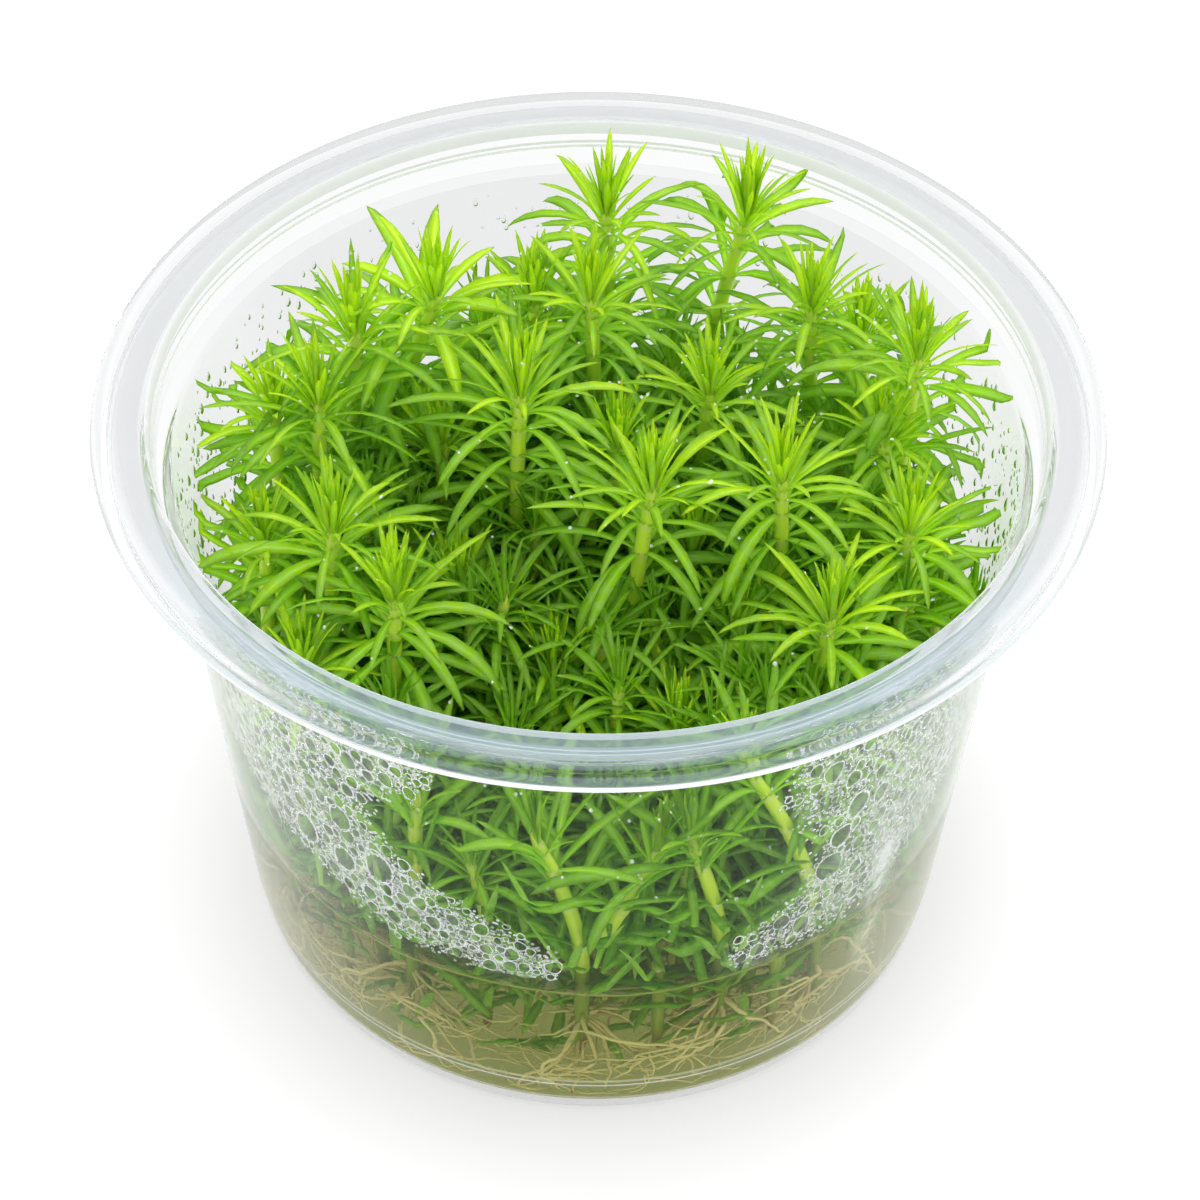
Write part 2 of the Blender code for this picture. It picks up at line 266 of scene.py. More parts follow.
CORNER_SHARE, CORNER_REACH = 0.22, 0.5  # what a corner's cut takes of an edge at most
LONG_RUN = 20.0  # a rise that is divided further
WELD, SLIVER = 0.000004, 0.000001  # metres
CREASE_ANGLE = math.radians(50.0)


def deselect_all():
    bpy.ops.object.select_all(action="DESELECT")


def edit():
    bpy.ops.object.mode_set(mode="EDIT")
    bpy.ops.mesh.select_mode(type="VERT")


def edit_all():
    edit()
    bpy.ops.mesh.select_all(action="SELECT")


def leave_edit():
    bpy.ops.object.mode_set(mode="OBJECT")


def turn_outward():
    """Points every face of the edited piece outward, and leaves edit mode."""
    bpy.ops.mesh.select_all(action="SELECT")
    bpy.ops.mesh.normals_make_consistent(inside=False)
    leave_edit()


def extrude(x=0.0, y=0.0, z=0.0):
    bpy.ops.mesh.extrude_region_move(TRANSFORM_OT_translate={"value": (x, y, z)})


def ring_of_points(count):
    """A ring of unit radius round Y, from which a leaf or a tube is extruded."""
    deselect_all()
    bpy.ops.mesh.primitive_circle_add(
        vertices=count, radius=1.0, fill_type="NOTHING", rotation=(math.pi / 2, 0.0, 0.0)
    )
    bpy.ops.object.transform_apply(location=False, rotation=True, scale=False)
    return bpy.context.object


def rounded(profile):
    """A profile with each of its corners cut twice, so that it turns softly."""
    for _ in range(2):
        cut = [profile[0]]
        for (ra, za), (rb, zb) in zip(profile[:-1], profile[1:]):
            length = math.hypot(rb - ra, zb - za)
            t = min(CORNER_SHARE, CORNER_REACH / max(length, 0.01))
            cut.append((ra + (rb - ra) * t, za + (zb - za) * t))
            cut.append((rb - (rb - ra) * t, zb - (zb - za) * t))
        cut.append(profile[-1])
        profile = cut
    return profile


def divided(profile, step):
    """The profile with points added up its long inner wall, where the fog and the painted highlight
    streak vary.
    """
    finer = [profile[0]]
    for (ra, za), (rb, zb) in zip(profile[:-1], profile[1:]):
        parts = round((zb - za) / step) if zb - za > LONG_RUN else 1
        for i in range(1, parts + 1):
            finer.append((ra + (rb - ra) * i / parts, za + (zb - za) * i / parts))
    return finer


def turn_profile(name, profile, steps):
    """Draws the profile by extruding one point, and spins it about Z into a closed piece."""
    deselect_all()
    bpy.ops.mesh.primitive_plane_add(size=MM)
    piece = bpy.context.object
    piece.name = piece.data.name = name
    edit_all()
    bpy.ops.mesh.merge(type="CENTER")
    r, z = profile[0]
    bpy.ops.transform.translate(value=(r * MM, 0.0, z * MM))
    for (ra, za), (rb, zb) in zip(profile[:-1], profile[1:]):
        extrude((rb - ra) * MM, 0.0, (zb - za) * MM)
    bpy.ops.mesh.select_all(action="SELECT")
    bpy.ops.mesh.spin(steps=steps, angle=math.tau, center=(0, 0, 0), axis=(0, 0, 1))
    bpy.ops.mesh.select_all(action="SELECT")
    bpy.ops.mesh.remove_doubles(threshold=WELD)
    bpy.ops.mesh.dissolve_degenerate(threshold=SLIVER)
    turn_outward()
    bpy.ops.object.shade_smooth_by_angle(angle=CREASE_ANGLE)
    return piece


def from_lowest(face):
    """A face's corners in the same turn, but from the lowest-numbered one on."""
    first = face.index(min(face))
    return face[first:] + face[:first]


class Pattern:
    """A shape that is modelled once: its points, the ring that each stands on, and its faces."""

    def __init__(self, piece, levels=(0.0,)):
        mesh = piece.data
        self.points = np.array([tuple(v.co) for v in mesh.vertices])
        # Sorted, because edit mode leaves the faces in another order on each run
        self.faces = sorted(from_lowest(tuple(p.vertices)) for p in mesh.polygons)
        self.ring = np.abs(self.points[:, 1, None] - np.array(levels)).argmin(axis=1)
        bpy.data.objects.remove(piece)
        bpy.data.meshes.remove(mesh)

    def around(self):
        """How far round the Y axis each point stands, from 0 to 1."""
        return np.arctan2(self.points[:, 2], self.points[:, 0]) / math.tau + 0.5


RING_THICKNESS = 0.1
LEAF_LEVELS = (0.0, 0.12, 0.28, 0.45, 0.62, 0.78, 0.91, 1.0)
LEAF_WIDTHS = (0.38, 0.52, 0.78, 0.95, 1.0, 0.84, 0.48)
# Half a leaf's section at its widest: middle of the top, upper edge, lower edge, keel
LEAF_SECTION = ((0.0, -0.25), (1.0, 1.25), (0.95, 0.95), (0.0, -1.0))
LEAF_BASE_DEPTH = 0.8
LEAF_THINNING = 0.10  # how much of its depth a leaf loses at each level


def model_leaf():
    """One leaf: a narrow blade with a grooved top and a keel, extruded row by row to its tip."""
    piece = ring_of_points(6)
    top, upper, lower, keel = LEAF_SECTION
    for vert in piece.data.vertices:
        x, z = vert.co.x, vert.co.z
        side = 0.0 if abs(x) < 0.1 else math.copysign(1.0, x)
        above, below = (upper, lower) if side else (top, keel)
        place = above if z > 0 else below
        vert.co = (side * place[0], 0.0, place[1])
    edit_all()
    base = (LEAF_WIDTHS[0], 1.0, LEAF_BASE_DEPTH)
    bpy.ops.transform.resize(value=base, center_override=(0, 0, 0))
    bpy.ops.mesh.edge_face_add()
    for i in range(1, len(LEAF_LEVELS)):
        extrude(y=LEAF_LEVELS[i] - LEAF_LEVELS[i - 1])
        if i < len(LEAF_WIDTHS):
            grow = LEAF_WIDTHS[i] / LEAF_WIDTHS[i - 1]
            thin = (1.0 - LEAF_THINNING * i) / (1.0 - LEAF_THINNING * (i - 1))
            bpy.ops.transform.resize(value=(grow, 1.0, thin), center_override=(0, 0, 0))
    bpy.ops.mesh.merge(type="CENTER")
    turn_outward()
    return Pattern(piece, LEAF_LEVELS)


def model_tube(rings, sides):
    """A closed tube of unit length along Y, for stems and roots, whose ends come to a point."""
    piece = ring_of_points(sides)
    edit_all()
    for _ in range(rings - 1):
        extrude(y=1.0 / (rings - 1))
    bpy.ops.mesh.select_all(action="DESELECT")
    leave_edit()
    for end in (0.0, 1.0):
        for vert in piece.data.vertices:
            vert.select = abs(vert.co.y - end) < 0.5 / rings
        edit()
        bpy.ops.mesh.merge(type="CENTER")
        bpy.ops.mesh.select_all(action="DESELECT")
        leave_edit()
    edit()
    turn_outward()
    return Pattern(piece, [i / (rings - 1) for i in range(rings)])


def model_drop(around, down):
    """A drop that stands on a wall: a low dome over a flat foot that reaches into the wall."""
    deselect_all()
    bpy.ops.mesh.primitive_uv_sphere_add(segments=around, ring_count=down, radius=1.0)
    piece = bpy.context.object
    edit_all()
    bpy.ops.mesh.bisect(plane_co=(0, 0, -0.12), plane_no=(0, 0, 1), use_fill=True, clear_inner=True)
    leave_edit()
    return Pattern(piece)


def model_ring(around, across):
    """The rim of one cell of foam: a thin ring of water."""
    deselect_all()
    bpy.ops.mesh.primitive_torus_add(
        major_segments=around, minor_segments=across, major_radius=1.0, minor_radius=RING_THICKNESS
    )
    return Pattern(bpy.context.object)


# ---------------------------------------------------------------- copies along a path


def direction(azimuth, pitch):
    flat = math.cos(pitch)
    return Vector((math.cos(azimuth) * flat, math.sin(azimuth) * flat, math.sin(pitch)))


def outer_radius(z):
    return BASE_RADIUS + (WALL_TOP_RADIUS - BASE_RADIUS) * min(z, WALL_TOP) / WALL_TOP


def inner_radius(z):
    return outer_radius(z) - WALL


def swept(pattern, paths, sides, widths, depths):
    """Copies of a pattern along paths (n, rings, 3), as points (n, pattern points, 3).

    sides (n, 3) points across each copy, and widths and depths (n, rings) scale its section.
    """
    tangents = np.gradient(paths, axis=1)
    tangents /= np.maximum(np.linalg.norm(tangents, axis=2, keepdims=True), 1e-9)
    across = sides[:, None, :] - tangents * (tangents * sides[:, None, :]).sum(2, keepdims=True)
    across /= np.maximum(np.linalg.norm(across, axis=2, keepdims=True), 1e-9)
    over = np.cross(across, tangents)
    ring = pattern.ring
    x = pattern.points[None, :, 0, None] * widths[:, ring, None]
    z = pattern.points[None, :, 2, None] * depths[:, ring, None]
    return paths[:, ring] + across[:, ring] * x + over[:, ring] * z


class Growth:
    """Gathers closed shapes, with their attributes and materials, for one piece."""

    def __init__(self):
        self.points, self.faces, self.slots = [], [], []
        self.maps, self.age, self.tone = [], [], []
        self.count = 0

    def add(self, pattern, copies, slot, uv, age, tone):
        """Adds copies (n, points, 3). age and tone are a number, or one per point or per copy."""
        size = len(pattern.points)
        for i in range(len(copies)):
            shift = self.count + i * size
            self.faces += [tuple(v + shift for v in face) for face in pattern.faces]
        self.slots += [slot] * (len(pattern.faces) * len(copies))
        self.points.append(copies.reshape(-1, 3))
        self.maps.append(np.tile(uv, (len(copies), 1)))
        for values, kept in ((age, self.age), (tone, self.tone)):
            kept.append(np.broadcast_to(values, (len(copies), size)).ravel())
        self.count += size * len(copies)

    def piece(self, name, materials):
        points = np.concatenate(self.points) * MM
        mesh = bpy.data.meshes.new(name)
        mesh.from_pydata(points.tolist(), [], self.faces)
        for material in materials:
            mesh.materials.append(material)
        mesh.polygons.foreach_set("material_index", self.slots)
        mesh.polygons.foreach_set("use_smooth", [True] * len(self.faces))
        corners = np.empty(len(mesh.loops), dtype=np.int32)
        mesh.loops.foreach_get("vertex_index", corners)
        layer = mesh.uv_layers.new(name="surface")
        layer.data.foreach_set("uv", np.concatenate(self.maps)[corners].ravel())
        for label, values in (("age", self.age), ("tone", self.tone)):
            attribute = mesh.attributes.new(label, "FLOAT", "POINT")
            attribute.data.foreach_set("value", np.concatenate(values))
        mesh.validate()
        mesh.update()
        piece = bpy.data.objects.new(name, mesh)
        bpy.context.scene.collection.objects.link(piece)
        return piece


# ---------------------------------------------------------------- shoots

STEM_RINGS = 44
VIEWER = -math.pi / 2  # the azimuth from which the photograph looks
NODE_SWELL, NODE_REACH = 0.10, 0.45
SWOLLEN_NODES = 10  # how many of a stem's nodes have rings of their own
GOLDEN_TURN = math.tau * 0.382
TUFT_DEPTH = 1.7  # how far down the bud its leaves start
FULL_WHORLS = 14.0  # how far below the crown every whorl is full


def stem_route(root, crown):
    """The stem's route in the part's source: upright in the gel, then a lean to the crown."""
    start = Vector((root[0], root[1], GEL_TOP))
    end = Vector(crown)
    bend = start + UP * 0.45 * (end.z - start.z)
    above = []
    for i in range(13):
        t = i / 12
        above.append(start * (1 - t) ** 2 + bend * 2 * t * (1 - t) + end * t**2)
    return [start - UP * (FOOT_DEPTH + FOOT_TIP)] + above


def branch_route(root, crown):
    fork = Vector((root[0], root[1], BRANCH_HEIGHT))
    end = Vector(crown)
    return [fork.lerp(end, i / 8) for i in range(9)]


class Route:
    """Points along a line at a distance below its upper end."""

    def __init__(self, points):
        self.points = np.array([tuple(p) for p in points])[::-1]
        steps = np.linalg.norm(np.diff(self.points, axis=0), axis=1)
        self.along = np.concatenate([[0.0], np.cumsum(steps)])
        self.length = self.along[-1]

    def at(self, distances):
        distances = np.atleast_1d(distances)
        inside = np.clip(distances, 0.0, self.length)
        place = np.stack(
            [np.interp(inside, self.along, self.points[:, k]) for k in range(3)], axis=1
        )
        lean = self.points[0] - self.points[1]
        lean /= np.linalg.norm(lean)
        return place - np.minimum(distances, 0.0)[:, None] * lean


def leaf_path(base, azimuth, pitch, droop, length):
    """A leaf's middle line: it arches over, slides along the wall and stays off the gel."""
    points = [base]
    in_gel = base.z < GEL_TOP
    for lower, upper in zip(LEAF_LEVELS[:-1], LEAF_LEVELS[1:]):
        middle = (lower + upper) / 2
        move = direction(azimuth, pitch - droop * middle**1.25)
        run = (upper - lower) * length
        place = points[-1] + move * run
        reach = math.hypot(place.x, place.y)
        limit = max(inner_radius(place.z) - 0.5, math.hypot(base.x, base.y))
        if reach > limit:
            place.x *= limit / reach
            place.y *= limit / reach
            short = run * run - (place - points[-1]).length_squared
            place.z += 0.8 * math.sqrt(max(short, 0.0))
        floor = FLOOR_TOP + 0.8 if in_gel else GEL_TOP + 0.7
        if place.z < floor:
            place.z = floor
        points.append(place)
    return points


class Habit:
    """How a kind of shoot grows: leaves in its tuft and whorls, gaps between nodes, and age.

    rise lifts the leaves, and parting is the angle to each side of the viewer's that stays free.
    """

    def __init__(
        self, tuft, whorl, gaps, lowest, older=0.0, looseness=1.0, width=1.0, rise=0.0, parting=0.0
    ):
        self.tuft, self.whorl, self.gaps, self.lowest = tuft, whorl, gaps, lowest
        self.older, self.looseness, self.width = older, looseness, width
        self.rise, self.parting = rise, parting


OPEN_HABIT = Habit(24, 8, (0.9, 1.2, 2.0, 3.8, 5.4, 6.0), 23.0, parting=0.42)
PALE_HABIT = Habit(12, 8, (1.4, 2.4, 3.6, 5.0, 5.8), 23.0, older=-0.12, width=1.3, parting=0.3)
WALL_HABIT = Habit(
    9, 6, (1.2, 2.4, 4.5, 5.5, 6.0), 17.0, older=0.16, looseness=1.3, rise=16.0, parting=0.5
)
LOW_HABIT = Habit(5, 8, (1.2, 1.8, 2.6, 3.0, 3.4), 22.0, older=0.36, looseness=1.6, width=0.84)

# Down the stem from the crown: a leaf's pitch, how far it bends down, and its share of the length
LEAF_PLAN = {
    "below": (-1.5, 0.0, 0.9, 2.0, 4.0, 8.0, 13.0, 22.0, 40.0),
    "pitch": (89, 82, 64, 48, 40, 34, 26, 16, 8),
    "droop": (-4, 6, 38, 66, 86, 90, 84, 76, 66),
    "share": (0.76, 0.74, 0.80, 1.0, 1.18, 1.25, 1.2, 1.12, 0.95),
}


def leaf_plan(distance):
    """A leaf's pitch, droop and share of the length at a distance below the crown."""
    below, *plans = LEAF_PLAN.values()
    return [float(np.interp(distance, below, plan)) for plan in plans]


class Leaves:
    """Gathers leaves, each with its path, width and colouring, and adds them to a growth."""

    def __init__(self, pattern, rng, settings):
        self.pattern, self.rng = pattern, rng
        self.width = settings.leaf_width / MM / 2
        self.depth = settings.leaf_thickness / MM / 2
        self.paths, self.sides, self.widths, self.ages, self.tones = [], [], [], [], []

    def add(self, base, azimuth, pitch, droop, length, width, age):
        line = leaf_path(base, azimuth, math.radians(pitch), math.radians(droop), length)
        self.paths.append([tuple(p) for p in line])
        side = Vector((math.sin(azimuth), -math.cos(azimuth), self.rng.gauss(0.0, 0.30)))
        self.sides.append(tuple(side.normalized()))
        self.widths.append([width * self.width * self.rng.uniform(0.84, 1.12)] * len(LEAF_LEVELS))
        self.ages.append(min(1.0, max(0.0, age + self.rng.uniform(-0.05, 0.05))))
        self.tones.append(self.rng.uniform(-1.0, 1.0))

    def finish(self, growth):
        leaf, widths = self.pattern, np.array(self.widths)
        depths = np.full(widths.shape, self.depth)
        copies = swept(leaf, np.array(self.paths), np.array(self.sides), widths, depths)
        across = leaf.points[:, 0] / np.array(LEAF_WIDTHS + (1.0,))[leaf.ring] / 2 + 0.5
        uv = np.stack([across, np.array(LEAF_LEVELS)[leaf.ring]], axis=1)
        growth.add(leaf, copies, 0, uv, np.c_[self.ages], np.c_[self.tones])


def grow_shoot(growth, patterns, rng, route, leaf_length, habit, settings):
    """Adds a stem and its leaves."""
    leaf, tube = patterns
    crown = route.at(0.0)[0]
    nodes = []
    distance, index = 0.3, 0
    while distance < route.length and route.at(distance)[0][2] > habit.lowest:
        nodes.append(distance)
        distance += habit.gaps[min(index, len(habit.gaps) - 1)] * rng.uniform(0.88, 1.12)
        index += 1
    turn = rng.uniform(0.0, math.tau)
    leaves = Leaves(leaf, rng, settings)

    def add_leaf(distance, azimuth, size=1.0):
        pitch, droop, share = leaf_plan(distance)
        loose = float(np.interp(distance, (0.0, 4.0), (0.45, 1.0))) * habit.looseness
        pitch += rng.gauss(0.0, 9.0) * loose + habit.rise
        droop = droop * (1.0 - habit.rise / 32.0) + rng.gauss(0.0, 20.0) * loose
        length = leaf_length * share * rng.uniform(0.78, 1.1) * size
        base = Vector(route.at(distance + rng.uniform(-0.15, 0.15))[0])
        base += direction(azimuth, 0.0) * STEM_RADIUS * 0.45
        width = float(np.interp(distance, (-1.5, 0.5, 4.0), (0.38, 0.50, 1.0))) * habit.width
        height = np.clip((base.z - GEL_TOP) / (crown[2] - GEL_TOP + 0.01), 0.0, 1.0)
        age = 0.055 * max(distance, 0.0) ** 0.8 + 0.32 * (1.0 - height) + habit.older
        leaves.add(base, azimuth, pitch, droop, length, width, age)

    for i in range(habit.tuft):
        grown = i / habit.tuft
        add_leaf(0.2 - TUFT_DEPTH * (1.0 - grown), turn + i * GOLDEN_TURN, 0.70 + 0.30 * grown)
    for number, distance in enumerate(nodes):
        offset = turn + (number % 2) * math.pi / habit.whorl + rng.uniform(-0.15, 0.15)
        count = habit.whorl - (rng.choice((0, 1)) if distance >= FULL_WHORLS else 0)
        for i in range(count):
            azimuth = offset + math.tau * i / count + rng.gauss(0.0, 0.10)
            aside = (azimuth - VIEWER + math.pi) % math.tau - math.pi
            if distance > 2.5 and abs(aside) < habit.parting:
                azimuth = VIEWER + math.copysign(habit.parting + rng.uniform(0.0, 0.25), aside)
            add_leaf(distance, azimuth)
    leaves.finish(growth)

    swollen = nodes[:SWOLLEN_NODES]
    rings = list(np.linspace(-BUD_HEIGHT, route.length, STEM_RINGS - 3 * len(swollen)))
    for distance in swollen:
        rings += [distance - NODE_REACH, distance + 0.02, distance + NODE_REACH]
    rings = np.array(sorted(rings))
    path = route.at(rings)
    swell = np.zeros(len(rings))
    for distance in nodes:
        swell = np.maximum(swell, np.exp(-(((rings - distance) / 0.30) ** 2)))
    thick = np.interp(rings, (-BUD_HEIGHT, 0.0, 5.0, 20.0), (0.25, 0.75, 1.02, 1.12)) * STEM_RADIUS
    thick = thick * (1.0 + NODE_SWELL * swell)
    if path[-1, 2] < GEL_TOP:
        thick = thick * np.interp(path[:, 2], (8.0, 10.5, GEL_TOP), (0.3, 0.75, 1.0))
    copies = swept(tube, path[None], np.array([[1.0, 0.0, 0.0]]), thick[None], thick[None])
    uv = np.stack([tube.around(), rings[tube.ring] / 10.0], axis=1)
    growth.add(tube, copies, 1, uv, swell[tube.ring], path[0, 2] / 70)


def finish_piece(piece, slot, *replaced):
    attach(piece, "root")
    if replaced:
        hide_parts(*replaced)


def growing_kit(settings):
    """The shapes and the materials that every shoot shares."""
    patterns = (model_leaf(), model_tube(STEM_RINGS, 8))
    kept = (("wet_leaf", leaf_material), ("stem", stem_material))
    return patterns, [shared(name, make, settings) for name, make in kept]


class LIMNOPHILA_OT_shoots(bpy.types.Operator):
    """Grows the shoots that the part has, each with its stem, whorls and crown"""

    bl_idname = "limnophila.shoots"
    bl_label = "Shoots"

    def execute(self, context):
        settings = context.scene.limnophila_shoots
        patterns, materials = growing_kit(settings)
        number = 0
        habits = ((TALL_SHOOTS, OPEN_HABIT), (LOW_SHOOTS, OPEN_HABIT), (FRONT_SHOOTS, WALL_HABIT))
        for shoots, habit in habits:
            for name, root, crown, length in shoots:
                number += 1
                points = (branch_route if name == BRANCH else stem_route)(root, crown)
                chosen = PALE_HABIT if name == PALE_SHOOT else habit
                growth = Growth()
                rng = random.Random(100 + number)
                grow_shoot(growth, patterns, rng, Route(points), length, chosen, settings)
                finish_piece(growth.piece(name + "_leafy", materials), "foliage", name)
        return {"FINISHED"}


SHORT_LEAF = 11.0
SHORT_REACH = 37.5  # how far out the short shoots stand
SHORT_SPACING = 3.8
SHORT_TRIES = 6000
NEAR_WALL = 32.0  # beyond this the short shoots stay lower
QUARTERS = ("back_right", "back_left", "front_left", "front_right")
# Loose leaves: how far out, how evenly, then the ranges of height, pitch, droop and length, the
# share of the width, and the range of age
LOOSE_LEAVES = {
    "carpet": (
        38.2, 0.35, (GEL_TOP + 0.6, GEL_TOP + 3.5), (0.0, 45.0), (20.0, 70.0), (8.0, 13.0), 0.9,
        (0.55, 0.95),
    ),
    "sunken": (
        37.5, 0.3, (7.0, GEL_TOP - 2.5), (-10.0, 50.0), (20.0, 60.0), (6.0, 10.0), 0.8, (0.75, 1.0)
    ),
}


def free_places(rng, wanted):
    """Places for short shoots that keep clear of each other and of the part's own shoots."""
    taken = [Vector(root) for _, root, _, _ in TALL_SHOOTS + LOW_SHOOTS + FRONT_SHOOTS]
    places = []
    for _ in range(SHORT_TRIES):
        if len(places) == wanted:
            break
        reach, turn = SHORT_REACH * math.sqrt(rng.random()), rng.uniform(0.0, math.tau)
        place = Vector((reach * math.cos(turn), reach * math.sin(turn)))
        if all((place - other).length > SHORT_SPACING for other in taken):
            taken.append(place)
            places.append(place)
    if len(places) < wanted:
        raise RuntimeError("the undergrowth has no room left")
    return places


class LIMNOPHILA_OT_undergrowth(bpy.types.Operator):
    """Fills the room between the shoots with shorter ones, and with loose leaves"""

    bl_idname = "limnophila.undergrowth"
    bl_label = "Undergrowth"

    def execute(self, context):
        settings = context.scene.limnophila_shoots
        patterns, materials = growing_kit(settings)
        rng = random.Random(7)
        places = free_places(rng, settings.undergrowth)
        loose = Growth()
        leaves = Leaves(patterns[0], rng, settings)
        for kind, (far, spread, heights, pitch, droop, length, width, age) in LOOSE_LEAVES.items():
            for _ in range(getattr(settings, kind)):
                reach, turn = far * rng.random() ** spread, rng.uniform(0.0, math.tau)
                base = direction(turn, 0.0) * reach + UP * rng.uniform(*heights)
                leaves.add(
                    base, rng.uniform(0.0, math.tau), rng.uniform(*pitch), rng.uniform(*droop),
                    rng.uniform(*length), width, rng.uniform(*age),
                )
        leaves.finish(loose)
        finish_piece(loose.piece("low_leaves", materials[:1]), "foliage")
        for number, label in enumerate(QUARTERS):
            growth = Growth()
            for place in places:
                if int(math.atan2(place.y, place.x) % math.tau / (math.pi / 2)) != number:
                    continue
                height = 40.0 + 0.25 * place.y + rng.uniform(-4.0, 8.0)
                if place.length > NEAR_WALL:
                    height -= rng.uniform(2.0, 12.0)
                crown = [0.97 * value + rng.uniform(-2, 2) for value in place]
                route = Route(stem_route(tuple(place), (*crown, height)))
                grow_shoot(growth, patterns, rng, route, SHORT_LEAF, LOW_HABIT, settings)
            if growth.count:
                finish_piece(growth.piece("undergrowth_" + label, materials), "foliage")
        return {"FINISHED"}


# ---------------------------------------------------------------- roots

ROOT_RINGS = 15
NEAR_LINE = -8.0  # shoots nearer than this Y are seen through the wall, and have more roots


def root_path(rng, start, heading, fall, length):
    """A root that wanders out and down through the gel, and follows the wall or the floor."""
    points = [start]
    run = length / (ROOT_RINGS - 1)
    for _ in range(ROOT_RINGS - 1):
        heading += rng.gauss(0.0, 0.28)
        fall = 0.86 * fall + rng.gauss(0.06, 0.24)
        place = points[-1] + direction(heading, -fall) * run
        reach = math.hypot(place.x, place.y)
        limit = inner_radius(max(place.z, 0.0)) - 0.55
        if reach > limit:
            place.x *= limit / reach
            place.y *= limit / reach
            heading += rng.choice((-0.5, 0.5))
        if place.z < FLOOR_TOP + 0.45:
            place.z = FLOOR_TOP + 0.45 + rng.uniform(0.0, 0.3)
            fall = -0.1
        place.z = min(place.z, GEL_TOP - 1.0)
        points.append(place)
    return points


class LIMNOPHILA_OT_roots(bpy.types.Operator):
    """Sends fine branching roots from every stem into the gel"""

    bl_idname = "limnophila.roots"
    bl_label = "Roots"

    def execute(self, context):
        tube = model_tube(ROOT_RINGS, 5)
        rng = random.Random(31)
        growth = Growth()
        paths, radii, tones = [], [], []

        def add_root(start, heading, fall, length, thick, tip):
            line = root_path(rng, start, heading, fall, length)
            paths.append([tuple(p) for p in line])
            radii.append(np.linspace(thick, tip, ROOT_RINGS))
            tones.append(rng.uniform(-1.0, 1.0))
            return line

        shoots = [s for s in FRONT_SHOOTS if s[0] != BRANCH] + list(TALL_SHOOTS + LOW_SHOOTS)
        for _, (x, y), _, _ in shoots:
            roots, forks = (19, 2) if y < NEAR_LINE else (9, 1)
            for _ in range(roots):
                start = Vector((x, y, GEL_TOP - rng.uniform(5.0, FOOT_DEPTH - 0.3)))
                heading, thick = rng.uniform(0.0, math.tau), rng.uniform(0.20, 0.38)
                fall, length = rng.uniform(0.0, 1.2), rng.uniform(12.0, 30.0)
                line = add_root(start, heading, fall, length, thick, 0.10)
                for _ in range(forks):
                    fork = line[rng.randrange(2, ROOT_RINGS - 4)]
                    aside = heading + rng.choice((-0.9, 0.9))
                    fall, length = rng.uniform(-0.3, 0.9), rng.uniform(5.0, 13.0)
                    add_root(fork, aside, fall, length, thick * 0.55, 0.05)
        sides = np.tile([[0.31, 0.17, 0.94]], (len(paths), 1))
        copies = swept(tube, np.array(paths), sides, np.array(radii), np.array(radii))
        along = tube.ring / ROOT_RINGS
        uv = np.stack([tube.around(), along], axis=1)
        growth.add(tube, copies, 0, uv, along, np.c_[tones])
        material = root_material(context.scene.limnophila_gel)
        finish_piece(growth.piece("roots", [material]), "foliage")
        return {"FINISHED"}


# ---------------------------------------------------------------- tub and gel

# The rim in section: up its inner edge, over its groove and its bead, and back underneath
RIM_SECTION = [
    (44.25, 67.4), (44.75, 68.0), (45.5, 67.75), (46.8, 67.7), (47.6, 68.1), (48.3, TUB_HEIGHT),
    (49.2, 68.35), (49.8, 67.8), (RIM_RADIUS, 67.0), (49.75, 65.9), (49.1, 65.0), (48.6, 64.75),
    (48.1, 65.0), (48.3, 65.9), (48.5, 66.9), (47.9, 67.2), (46.8, 66.75), (45.5, 66.8),
    (45.0, 66.4),
]
RIM_BOTTOM = 66.6
FOG_STEP = 2.6  # height of the inner wall's faces
GEL_STEPS = 144
GEL_CONTACT = 0.12  # how far the gel reaches into the wall
CLIMB, CLIMB_WIDTH = 36.0, 3.2  # where the gel starts to climb to the wall, and over what width


